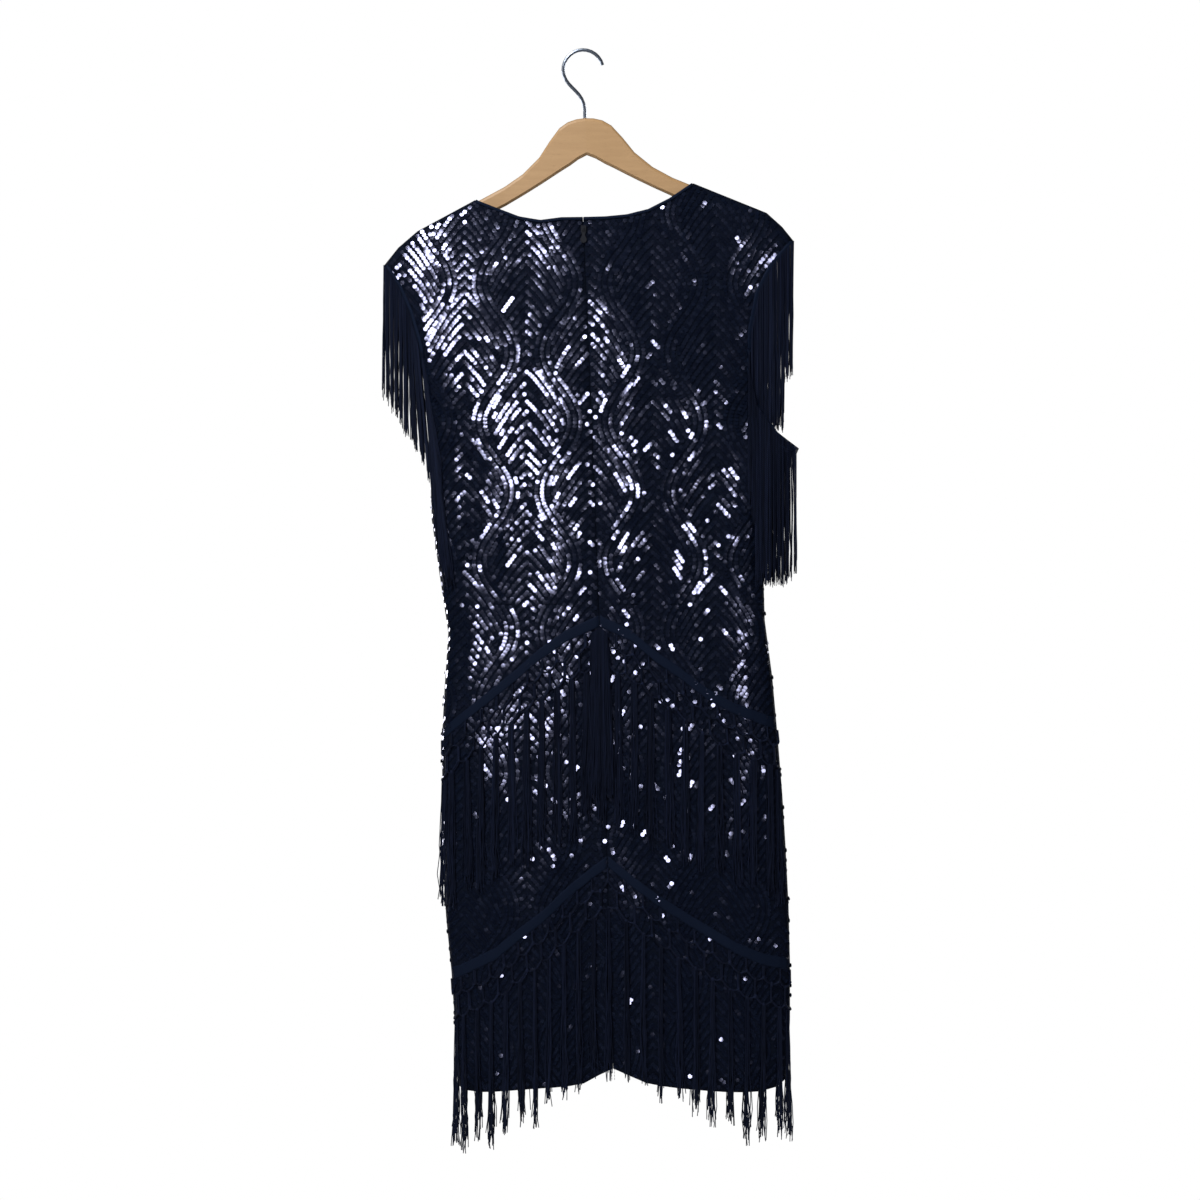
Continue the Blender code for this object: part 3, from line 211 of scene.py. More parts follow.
def thread_material(name, dark, light):
    made, tree, shader = new_material(name, Roughness=0.65, Specular_IOR_Level=0.16,
                                      Specular_Tint=hex_colour("A8B4E8"))
    turned = add_node(tree, "ShaderNodeMapping", values={"Rotation": (0.0, 0.6, 0.0)},
                      links={"Vector": object_place(tree)})
    twist = add_node(tree, "ShaderNodeTexWave", {"bands_direction": "Z"},
                     values={"Scale": 0.314 / (TWIST_PITCH * MM), "Distortion": 1.5},
                     links={"Vector": turned.outputs["Vector"]}).outputs["Fac"]
    each_thread = add_node(tree, "ShaderNodeNewGeometry").outputs["Random Per Island"]
    # The twist's wave darkens the grooves between its turns, which is painted shade; the random number gives
    # each thread its own tone.
    groove_shade_and_thread_tone = times(tree, twist, each_thread)
    tree.links.new(two_tones(tree, groove_shade_and_thread_tone, dark, light), shader.inputs["Base Color"])
    set_bump(tree, shader, twist, 0.4, 0.0003)
    return made


THREAD = thread_material("twisted_rayon_thread", "10141F", "232B45")
BRAID = thread_material("woven_rayon_braid", "0C1423", "19243A")
print("materials:", THREAD.name, BRAID.name)

# %% [markdown]
# ## Beech, wire and enamel
#
# The hanger is clear-lacquered beech: pale, with faint straight grain and a few tiny dark flecks. The
# hook is nickel-plated steel wire, dulled by its fine drawing marks. The zip's slider and tab are
# enamelled in the cloth's own colour.

# %% Finishes of the hanger and the zip
GRAIN_PITCH = 5.0
FLECK_PITCH = 0.9
DRAWING_PITCH = 1.5
WEAR_PITCH = 1.2


def fine_noise(tree, pitch, detail, place):
    """Noise whose spots lie about a pitch apart, in millimetres."""
    return add_node(tree, "ShaderNodeTexNoise", values={"Scale": 1 / (pitch * MM), "Detail": detail},
                    links={"Vector": place}).outputs["Fac"]


def beech_material():
    made, tree, shader = new_material("lacquered_beech", Roughness=0.5, Coat_Weight=0.1, Coat_Roughness=0.3)
    stretched = add_node(tree, "ShaderNodeMapping", values={"Scale": (0.12, 1.0, 1.0)},
                         links={"Vector": object_place(tree)}).outputs["Vector"]
    grain = fine_noise(tree, GRAIN_PITCH, 6.0, stretched)
    fleck = fine_noise(tree, FLECK_PITCH, 2.0, stretched)
    dark = add_node(tree, "ShaderNodeMapRange", values={"From Min": 0.62, "From Max": 0.78, "To Max": 0.3},
                    links={"Value": fleck})
    pale = two_tones(tree, grain, "BD9566", "C69E6E", 0.32, 0.7)
    mix = add_node(tree, "ShaderNodeMix", {"data_type": "RGBA"}, links={0: dark, 6: pale})
    mix.inputs[7].default_value = hex_colour("7A5330")
    tree.links.new(mix.outputs[2], shader.inputs["Base Color"])
    set_bump(tree, shader, grain, 0.12, 0.0003)
    return made


def wire_material():
    made, tree, shader = new_material("nickel_plated_wire", Metallic=1.0, Base_Color=hex_colour("8F98A6"))
    set_roughness(tree, shader, fine_noise(tree, DRAWING_PITCH, 3.0, object_place(tree)), 0.36, 0.42)
    return made


def zip_material():
    made, tree, shader = new_material("enamelled_zinc", Specular_IOR_Level=0.25)
    wear = fine_noise(tree, WEAR_PITCH, 4.0, object_place(tree))
    tree.links.new(two_tones(tree, wear, "070B18", "101728", 0.55, 0.72), shader.inputs["Base Color"])
    set_roughness(tree, shader, wear, 0.45, 0.65)
    return made


BEECH = beech_material()
WIRE = wire_material()
ENAMEL = zip_material()
for node, finish in (("hanger_wood", BEECH), ("hanger_hook", WIRE),
                     ("zip_slider", ENAMEL), ("zip_pull", ENAMEL)):
    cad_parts[node].data.materials.clear()
    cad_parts[node].data.materials.append(finish)
print("materials:", BEECH.name, WIRE.name, ENAMEL.name)

# %% [markdown]
# ## Feeling for the cloth
#
# Everything sewn on follows the cloth, so a ray sent straight at the dress finds its skin. Each panel
# is a solid in the frame already; a tree of its triangles makes a million such questions quick.

# %% Rays that find the skin


def skin_tree(*nodes):
    """A search tree over the triangles of the named panels."""
    points = []
    triangles = []
    for node in nodes:
        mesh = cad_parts[node].data
        mesh.calc_loop_triangles()
        first = len(points)
        points.extend(vertex.co.copy() for vertex in mesh.vertices)
        triangles.extend(tuple(first + i for i in tri.vertices) for tri in mesh.loop_triangles)
    return BVHTree.FromPolygons(points, triangles)


SKINS = {BACK: skin_tree("back_left", "back_right"), FRONT: skin_tree("front")}
SIDE_WORDS = {BACK: "back", FRONT: "front"}
LEAST_DEPTH = 0.0012


def find_skin(side, x, z):
    """The outer skin's point and outward normal at x and z, or None beyond its edge."""
    place, normal, _, _ = SKINS[side].ray_cast(Vector((x, side * 0.3, z)), Vector((0, -side, 0)))
    if place is None or place.y * side < 0:
        return None
    return place, normal


def skin_depth(side, x, z):
    """How far the skin stands out at x and z, taken from the nearest skin beyond its edge."""
    found = find_skin(side, x, z)
    if found:
        return abs(found[0].y)
    place, _, _, _ = SKINS[side].find_nearest(Vector((x, side * 0.004, z)))
    return max(LEAST_DEPTH, abs(place.y)) if place.y * side > 0 else LEAST_DEPTH


print("skin at the waist:", round(skin_depth(BACK, 0.03, -0.6) * 1000, 1), "mm out")

# %% [markdown]
# ## The outline and the lines the trims follow
#
# A dressmaker's pattern is a few measured points joined by smooth curves. The same is done here, in
# millimetres, with straight runs between the points: the side seams, the armholes, and the two chevrons
# that the trims follow, with their tassels' tips.

# %% Pattern lines
# Side seams: height, left and right. The other lines: x and height.
SIDE_SEAMS = [(-1200, -143.5, 234.0), (-1116, -148.0, 238.5), (-1050, -152.5, 238.5), (-976, -159.4, 236.5),
              (-861, -161.7, 230.0), (-781, -162.9, 223.5), (-701, -157.1, 216.0), (-646, -156.0, 208.5),
              (-588, -168.6, 207.6), (-532, -175.0, 217.0), (-488, -175.5, 231.0), (-455, -174.0, 249.5)]
UPPER_LINE = [(-170.0, -793.0), (-139.9, -768.5), (-106.7, -742.1), (-76.8, -718.0), (-50.5, -695.1),
              (-19.5, -673.3), (19.0, -656.0), (53.9, -672.1), (82.6, -696.2), (111.3, -715.7),
              (141.1, -738.7), (172.1, -755.9), (205.3, -768.5), (232.0, -778.0)]
LOWER_LINE = [(-165.0, -1066.0), (-139.9, -1057.5), (-100.9, -1038.0), (-73.4, -1015.1), (-45.9, -994.4),
              (-16.1, -965.8), (12.6, -942.8), (28.7, -931.4), (59.6, -956.6), (88.3, -977.2),
              (120.4, -997.9), (149.1, -1015.1), (176.6, -1031.2), (205.3, -1043.8), (242.0, -1052.0)]
UPPER_TIPS = [(-170.0, -1002.0), (-100.0, -960.0), (19.0, -892.0), (120.0, -940.0), (232.0, -985.0)]
LOWER_TIPS = [(-165.0, -1271.0), (-110.0, -1264.0), (-60.0, -1238.0), (-20.0, -1206.0), (30.0, -1182.0),
              (90.0, -1205.0), (150.0, -1238.0), (205.0, -1262.0), (242.0, -1252.0)]
LEFT_ARMHOLE = [(-229.4, -246.6), (-214.0, -270.7), (-201.5, -299.4), (-191.5, -333.8), (-184.0, -373.9),
                (-178.5, -414.1), (-174.5, -448.5), (-174.3, -473.7)]
RIGHT_ARMHOLE = [(243.2, -219.0), (221.0, -244.3), (204.0, -276.4), (195.0, -322.3), (194.5, -368.2),
                 (203.0, -408.3), (224.0, -439.3), (249.0, -457.7)]


def read_line(rows, at, column=1):
    """The value in a column of a pattern line at a place along its first column."""
    keys = [row[0] for row in rows]
    at = min(max(at, keys[0]), keys[-1])
    i = min(max(bisect_right(keys, at) - 1, 0), len(keys) - 2)
    share = (at - keys[i]) / (keys[i + 1] - keys[i])
    return rows[i][column] + (rows[i + 1][column] - rows[i][column]) * share


def walk(points, step):
    """Points a step apart along a polyline, in millimetres."""
    walked = [Vector(points[0])]
    carried = 0.0
    for a, b in zip(points, points[1:]):
        a, b = Vector(a), Vector(b)
        length = (b - a).length
        at = step - carried
        while at <= length:
            walked.append(a.lerp(b, at / length))
            at += step
        carried = (carried + length) % step
    return walked


print("upper chevron's point:", max(UPPER_LINE, key=lambda row: row[1]))

# %% [markdown]
# ## The cloth itself
#
# Sequinned cloth is heavy, so it hangs in long soft folds that start where something holds it: the
# underarm, the waist, the hanger. Simulated cloth would settle away from the photographed folds, so
# each panel is a fine copy of its solid, and the folds are pressed into it one by one.

# %% Panels with their creases
Crease = namedtuple("Crease", "side x1 z1 x2 z2 width rise")
CREASES = [
    Crease(BACK, 205, -450, 120, -540, 11, -2.2),
    Crease(BACK, 210, -470, 150, -600, 12, 2.0),
    Crease(BACK, -160, -470, -120, -560, 10, -2.0),
    Crease(BACK, -150, -560, -90, -640, 12, 2.0),
    Crease(BACK, -120, -800, -110, -930, 12, -2.0),
    Crease(BACK, 170, -800, 185, -1000, 13, -2.2),
    Crease(BACK, 60, -1080, 65, -1170, 12, 1.8),
    Crease(BACK, -40, -250, -60, -400, 16, 1.4),
    Crease(BACK, 120, -230, 110, -380, 16, -1.4),
    Crease(FRONT, -150, -480, -90, -560, 12, -2.2),
    Crease(FRONT, 200, -470, 130, -560, 12, -2.2),
    Crease(FRONT, -60, -300, 0, -340, 12, 1.8),
    Crease(FRONT, 60, -300, 10, -345, 12, 1.8),
    Crease(FRONT, 100, -820, 115, -1000, 13, 2.0),
    Crease(FRONT, -90, -850, -100, -1020, 13, -2.0),
]
CREASE_REACH = 0.8
CLOTH_UNREST = 0.7
SEAM_FADE = 25.0
CREASE_TOP = -0.235
CREASE_FADE = 0.04
LONGEST_EDGE = 0.012


def crease_rise(side, x, z):
    """How far the creases lift the cloth at a point, in metres; x and z are in metres too."""
    total = 0.0
    for crease in CREASES:
        if crease.side != side:
            continue
        start = Vector((crease.x1, crease.z1))
        run = Vector((crease.x2, crease.z2)) - start
        place = Vector((x / MM, z / MM)) - start
        share = place.dot(run) / run.dot(run)
        if abs(share - 0.5) < CREASE_REACH:
            off = abs(place.x * run.y - place.y * run.x) / run.length
            fade = math.cos(math.pi * (share - 0.5) / (2 * CREASE_REACH)) ** 2
            total += crease.rise * math.exp(-((off / crease.width) ** 2)) * fade
    total += CLOTH_UNREST * smooth_noise(x * 22, z * 9, side * 4.0)
    return total * MM


def near_seam(side, x, z):
    """0 at a side seam and 1 a finger's width away from it, so creases die out there."""
    left = read_line(SIDE_SEAMS, z / MM, 1)
    right = read_line(SIDE_SEAMS, z / MM, 2)
    return min(1.0, max(0.0, min(x / MM - left, right - x / MM) / SEAM_FADE))


def crease_height(side, x, z):
    """The creases' lift, in metres, which is nothing on the shoulders and at the side seams."""
    if z > CREASE_TOP:
        return 0.0
    return crease_rise(side, x, z) * near_seam(side, x, z) * min(1.0, (CREASE_TOP - z) / CREASE_FADE)


def cloth_depth(side, x, z):
    """How far the creased cloth stands out at x and z, in metres."""
    return skin_depth(side, x, z) + crease_height(side, x, z)


def cloth_panel(node, side):
    """A fine copy of a panel's solid, with the creases pressed in through its whole thickness."""
    mesh = bpy.data.meshes.new(node + "_cloth")
    shape = bmesh.new()
    shape.from_mesh(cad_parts[node].data)
    bmesh.ops.remove_doubles(shape, verts=shape.verts[:], dist=0.00001)
    bmesh.ops.subdivide_edges(shape, edges=[e for e in shape.edges if e.calc_length() > LONGEST_EDGE],
                              cuts=1, use_grid_fill=True)
    bmesh.ops.triangulate(shape, faces=shape.faces[:])
    for vertex in shape.verts:
        vertex.co.y += side * crease_height(side, vertex.co.x, vertex.co.z)
    shape.to_mesh(mesh)
    shape.free()
    made = link_object(node + "_cloth", mesh)
    made.data.materials.append(MESH_CLOTH)
    made.data.shade_smooth()
    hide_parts(node)
    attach(made, "dress")
    return made


def mesh_area(made):
    return sum(face.area for face in made.data.polygons)


PANELS = {name: cloth_panel(name, side) for name, side in
          (("back_left", BACK), ("back_right", BACK), ("front", FRONT))}
for name, made in PANELS.items():
    print(name, len(made.data.polygons), "faces,", round(mesh_area(made) / 2, 3), "square metres a layer")

# %% [markdown]
# ## A way to sew small discs on
#
# Thousands of equal sequins are what Geometry Nodes are for. The script marks where each one goes,
# with the way out of the cloth stored beside it, and a node tree puts a shallow cone on every mark
# and leans each a little at random, since loosely sewn discs never lie quite flat.

# %% A node tree that sews discs
DISC_SIDES = 7
HALF_TURN = 3.1
SOCKET_KINDS = {int: "NodeSocketInt", float: "NodeSocketFloat"}


def new_tree(name, start_name, defaults):
    """A node group that takes geometry, numbers and a material, and the node its inputs come in by."""
    tree = bpy.data.node_groups.new(name, "GeometryNodeTree")
    tree.interface.new_socket(start_name, in_out="INPUT", socket_type="NodeSocketGeometry")
    tree.interface.new_socket("Geometry", in_out="OUTPUT", socket_type="NodeSocketGeometry")
    for word, value in defaults.items():
        socket = tree.interface.new_socket(word, in_out="INPUT", socket_type=SOCKET_KINDS[type(value)])
        socket.default_value = value
    tree.interface.new_socket("Material", in_out="INPUT", socket_type="NodeSocketMaterial")
    return tree, add_node(tree, "NodeGroupInput").outputs


def finish_tree(tree, geometry, material):
    """Every tree ends the same way: real geometry with its material on it."""
    real = add_node(tree, "GeometryNodeRealizeInstances", links={"Geometry": geometry})
    smooth = add_node(tree, "GeometryNodeSetShadeSmooth", links={0: real})
    painted = add_node(tree, "GeometryNodeSetMaterial", links={"Geometry": smooth, "Material": material})
    add_node(tree, "NodeGroupOutput", links={0: painted})


def disc_tree():
    tree, given = new_tree("sewn_discs", "Marks",
                           {"Radius": 2.5 * MM, "Dome": 0.35 * MM, "Lean": 0.2, "Seed": 3})
    disc = add_node(tree, "GeometryNodeMeshCone", {"fill_type": "NONE"},
                    values={"Vertices": DISC_SIDES, "Radius Top": 0.0},
                    links={"Radius Bottom": given["Radius"], "Depth": given["Dome"]})
    out_way = add_node(tree, "GeometryNodeInputNamedAttribute", {"data_type": "FLOAT_VECTOR"},
                       values={"Name": "out"})
    facing = add_node(tree, "FunctionNodeAlignRotationToVector", {"axis": "Z"},
                      links={"Vector": out_way.outputs["Attribute"]})
    negative = add_node(tree, "ShaderNodeMath", {"operation": "MULTIPLY"}, values={1: -1.0},
                        links={0: given["Lean"]}).outputs[0]
    low = add_node(tree, "ShaderNodeCombineXYZ", values={"Z": -HALF_TURN},
                   links={"X": negative, "Y": negative})
    high = add_node(tree, "ShaderNodeCombineXYZ", values={"Z": HALF_TURN},
                    links={"X": given["Lean"], "Y": given["Lean"]})
    lean = add_node(tree, "FunctionNodeRandomValue", {"data_type": "FLOAT_VECTOR"},
                    links={0: low, 1: high, "Seed": given["Seed"]})
    turned = add_node(tree, "FunctionNodeRotateRotation", {"rotation_space": "LOCAL"},
                      links={"Rotation": facing, "Rotate By": lean})
    sewn = add_node(tree, "GeometryNodeInstanceOnPoints",
                    links={"Points": given["Marks"], "Instance": disc, "Rotation": turned})
    finish_tree(tree, sewn, given["Material"])
    return tree


def run_tree(name, tree, base, slot, body="dress", **values):
    """Runs a node tree on a base mesh and keeps the result as a plain mesh piece on its body."""
    carrier = link_object(name + "_marks", base)
    maker = carrier.modifiers.new("make", "NODES")
    maker.node_group = tree
    for item in tree.interface.items_tree:
        if item.in_out == "INPUT" and item.name in values:
            maker[item.identifier] = values[item.name]
    evaluated = carrier.evaluated_get(bpy.context.evaluated_depsgraph_get())
    mesh = bpy.data.meshes.new_from_object(evaluated)
    mesh.name = name
    made = link_object(name, mesh)
    bpy.data.objects.remove(carrier, do_unlink=True)
    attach(made, body)
    print(name, len(mesh.polygons), "faces")
    return made


DISC_TREE = disc_tree()
print("tree:", DISC_TREE.name)

# %% [markdown]
# ## Where the sequins go
#
# The ground is covered in ogees, the pointed ovals of 1920s beading. Waves of three rows run down
# between columns 72 mm apart, and each oval is filled with chevrons that point up. Discs in one row
# overlap like roof tiles, and the mesh shows between the rows.
#
# A disc flashes only if it faces a lamp. Most lie as the cloth does, which sways softly, but here and
# there a run of a few discs hangs on a slack thread and leans its own way.

# %% Rows of sequins
AXIS_X = -64.0
AXIS_STEP = 72.0
WAVE_PERIOD = 160.0
WAVE_SWING = 19.0
WAVE_PEAK_Z = -268.0
ALONG_ROW = 4.3
CHEVRON_STEP = 11.5
CHEVRON_TOP = -60.0
OVERLAP_LEAN = 0.05
CLOTH_SWAY = 0.11
ROW_FLUTTER = 0.05
LOOSE_LEAN = 0.27
ROW_GAP = 6.6
ARM_REACH = 48
ARM_FALL = 0.9
ARM_CURL = 0.012
WAVE_CLEARANCE = 11.0
SEAM_CLEARANCE = 1.8
NEEDLE_ERROR = 0.6
EDGE_ABOVE = 0.0035
EDGE_BELOW = 0.003
DISC_LIFT = 0.0009
WAIST = -0.63
SEAM_TOP = -190.0
SEAM_LEAN = 0.045
SEAM_BEND = 1.0e-5

# Each band of height reaches down to its own lower end
LooseBand = namedtuple("LooseBand", "above share")
LOOSE_BANDS = [LooseBand(-0.33, 0.1), LooseBand(-0.6, 0.62), LooseBand(-0.93, 0.22), LooseBand(-9.0, 0.1)]


def loose_share(z):
    """How many of the runs of discs lie loose: most on the bodice, down to the waist."""
    return next(band.share for band in LOOSE_BANDS if z > band.above)


def wave_x(k, z):
    """The line between the ovals of columns k and k + 1."""
    swing = WAVE_SWING * math.cos(2 * math.pi * (z - WAVE_PEAK_Z) / WAVE_PERIOD + math.pi * k)
    return AXIS_X + AXIS_STEP * (k + 0.5) + swing


Mark = namedtuple("Mark", "x z way")


def sewn_along(line, step):
    """Marks a step apart along a row, each with the way that its row runs."""
    marks = []
    places = walk(line, step)
    for a, b in zip(places, places[1:]):
        run = (b - a).normalized()
        marks.append(Mark(a.x, a.y, run))
    return marks


def columns_between(low_x, high_x):
    """The numbers of the columns that may reach into a field."""
    return range(int((low_x - AXIS_X) // AXIS_STEP) - 1, int((high_x - AXIS_X) // AXIS_STEP) + 2)


def wave_rows(low_x, high_x, top, bottom):
    """Three rows of marks along each wave line."""
    marks = []
    for k in columns_between(low_x, high_x):
        for beside in (-1, 0, 1):
            line = []
            z = top
            while z > bottom:
                slope = (wave_x(k, z - 1) - wave_x(k, z + 1)) / 2
                line.append((wave_x(k, z) + beside * ROW_GAP / math.cos(math.atan(slope)), z))
                z -= 4.0
            marks += sewn_along(line, ALONG_ROW)
    return marks


def chevron_rows(low_x, high_x, bottom):
    """Chevrons that point up and fill each oval as far as the rows along its sides."""
    marks = []
    for k in columns_between(low_x, high_x):
        axis = AXIS_X + AXIS_STEP * k
        z = CHEVRON_TOP
        while z > bottom:
            for way in (-1, 1):
                arm = [(axis + way * out, z - ARM_FALL * out - ARM_CURL * out**2)
                       for out in range(0 if way > 0 else 3, ARM_REACH, 3)]
                for mark in sewn_along(arm, ALONG_ROW):
                    edge = wave_x(k, mark.z) if way > 0 else wave_x(k - 1, mark.z)
                    if (edge - mark.x) * way > WAVE_CLEARANCE:
                        marks.append(mark)
            z -= CHEVRON_STEP
    return marks


def noise_lean(first, second):
    """A lean to the side and up, each read from a place in smooth noise."""
    return Vector((smooth_noise(*first), 0.0, smooth_noise(*second)))


def sewn_marks(side, low_x, high_x, top, bottom):
    """The marks that land on the cloth, as points with the way out of it."""
    chance = random.Random(31 + side)
    points = []
    ways = []
    left_in_run = 0
    for mark in wave_rows(low_x, high_x, top, bottom) + chevron_rows(low_x, high_x, bottom):
        if not (low_x < mark.x < high_x and bottom < mark.z <= top):
            continue
        x = (mark.x + NEEDLE_ERROR * smooth_noise(mark.x, mark.z, 1.0)) * MM
        z = (mark.z + NEEDLE_ERROR * smooth_noise(mark.z, mark.x, 5.0)) * MM
        found = find_skin(side, x, z)
        if not (found and find_skin(side, x, z + EDGE_ABOVE) and find_skin(side, x, z - EDGE_BELOW)):
            continue
        place, normal = found
        if side == BACK and abs(x / MM - seam_x(z / MM)) < SEAM_CLEARANCE:
            continue
        place.y += side * crease_height(side, place.x, place.z)
        points.append(place + normal * DISC_LIFT)
        lean = OVERLAP_LEAN * Vector((mark.way.x, 0.0, mark.way.y))
        sway = noise_lean((x * 16, z * 11, 2.0), (x * 14, z * 12, 9.0))
        flutter = noise_lean((x * 75, z * 75, 3.0), (z * 75, x * 75, 8.0))
        if left_in_run == 0:
            left_in_run = chance.randint(1, 5 if z > WAIST else 2)
            is_loose = chance.random() < loose_share(z)
            slack = Vector((chance.uniform(-0.95, 0.2), 0.0, chance.uniform(-0.15, 0.9)))
            slack *= LOOSE_LEAN if is_loose else 0.0
        left_in_run -= 1
        way = normal - lean + CLOTH_SWAY * sway + ROW_FLUTTER * flutter + slack
        ways.append(way.normalized())
    return points, ways


def seam_x(z):
    """x of the centre-back seam, which drifts to the right on its way down; in millimetres."""
    drop = max(SEAM_TOP - z, 0.0)
    return SEAM_LEAN * drop - SEAM_BEND * drop**2


def marks_mesh(name, points, ways):
    """Loose points that carry the way out as an attribute."""
    mesh = bpy.data.meshes.new(name)
    mesh.from_pydata(points, [], [])
    stored = mesh.attributes.new("out", "FLOAT_VECTOR", "POINT")
    for i, way in enumerate(ways):
        stored.data[i].vector = way
    return mesh


FIELD_LEFT = -245
FIELD_RIGHT = 260
FIELDS = ((BACK, "upper", -150, -640), (BACK, "lower", -640, -1200),
          (FRONT, "upper", -150, -640), (FRONT, "lower", -640, -1200))
for seed, (side, word, top, bottom) in enumerate(FIELDS):
    name = SIDE_WORDS[side] + "_" + word + "_sequins"
    points, ways = sewn_marks(side, FIELD_LEFT, FIELD_RIGHT, top, bottom)
    run_tree(name, DISC_TREE, marks_mesh(name, points, ways), "sequinned_mesh",
             Radius=2.6 * MM, Dome=0.06 * MM, Lean=0.035, Seed=11 + seed, Material=SEQUIN)
    print(name, len(points), "discs")

# %% [markdown]
# ## Binding round the neck
#
# The neck is bound with a folded strip of plain dark cloth, rolled over the raw edge. Rays find where
# the skin ends at each place along the neck, and a round strip is swept along that line.

# %% Rolled binding
BINDING_RADIUS = 1.9
BINDING_SIDES = 8
BINDING_STEP = 3.0
BINDING_INSET = 0.0004
REACH_PAST_BOX = 0.004


def neck_edge(side, x, top, bottom):
    """The height at which the cloth ends at x, found by halving; all in metres."""
    if find_skin(side, x, bottom) is None:
        return None
    while top - bottom > 0.0001:
        middle = (top + bottom) / 2
        if find_skin(side, x, middle):
            bottom = middle
        else:
            top = middle
    return bottom


def tube_faces(count, ring):
    """The faces of a tube: both ends, and a quad from each side of a ring to the next ring."""
    faces = [list(range(ring)), [count * ring - 1 - k for k in range(ring)]]
    for i in range(0, (count - 1) * ring, ring):
        for k in range(ring):
            following = (k + 1) % ring
            faces.append([i + k, i + following, i + ring + following, i + ring + k])
    return faces


def rolled_strip(line):
    """The places round a strip rolled along a line, a little flatter than it is high."""
    points = []
    for i, place in enumerate(line):
        run = (line[min(i + 1, len(line) - 1)] - line[max(i - 1, 0)]).normalized()
        away = Vector((0, 1, 0))
        up = run.cross(away).normalized()
        for k in range(BINDING_SIDES):
            angle = 2 * math.pi * k / BINDING_SIDES
            points.append(place + BINDING_RADIUS * MM * (math.cos(angle) * away * 0.8 + math.sin(angle) * up))
    return points


def closed_piece(name, points, ring):
    """A closed braid tube that rides on the dress; points go round it, ring after ring."""
    mesh = bpy.data.meshes.new(name)
    mesh.from_pydata(points, [], tube_faces(len(points) // ring, ring))
    shape = bmesh.new()
    shape.from_mesh(mesh)
    bmesh.ops.recalc_face_normals(shape, faces=shape.faces[:])
    shape.to_mesh(mesh)
    shape.free()
    made = link_object(name, mesh)
    made.data.materials.append(BRAID)
    made.data.shade_smooth()
    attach(made, "dress")
    return made


def neck_roll(node, side):
    """The rolled binding that stands for one of the neck's bound edges, and its middle line."""
    low, high = (Vector(corner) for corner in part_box(node))
    count = max(24, int((high.x - low.x) / (BINDING_STEP * MM)))
    line = []
    for i in range(count + 1):
        x = low.x + BINDING_INSET + (high.x - low.x - 2 * BINDING_INSET) * i / count
        z = neck_edge(side, x, high.z + REACH_PAST_BOX, low.z - REACH_PAST_BOX)
        if z is not None:
            z -= BINDING_RADIUS * 0.6 * MM
            line.append(Vector((x, side * (skin_depth(side, x, z - 0.0005) + 0.0004), z)))
    made = closed_piece(node + "_roll", rolled_strip(line), BINDING_SIDES)
    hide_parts(node)
    return line


NECK_LINES = []
for node, side in (("neck_binding_back_left", BACK), ("neck_binding_back_right", BACK),
                   ("neck_binding_front", FRONT)):
    line = neck_roll(node, side)
    NECK_LINES.append((side, line))
    length = sum((b - a).length for a, b in zip(line, line[1:]))
    print(node, "bound with", len(line), "steps,", round(length * 1000), "mm")

# %% [markdown]
# ## A way to hang threads
#
# Fringe and tassels are bundles of loose threads. Each bundle starts as one path; a node tree copies
# it, spreads the copies more towards their tips, cuts them a little unevenly and lets them wander.

# %% A node tree that hangs threads


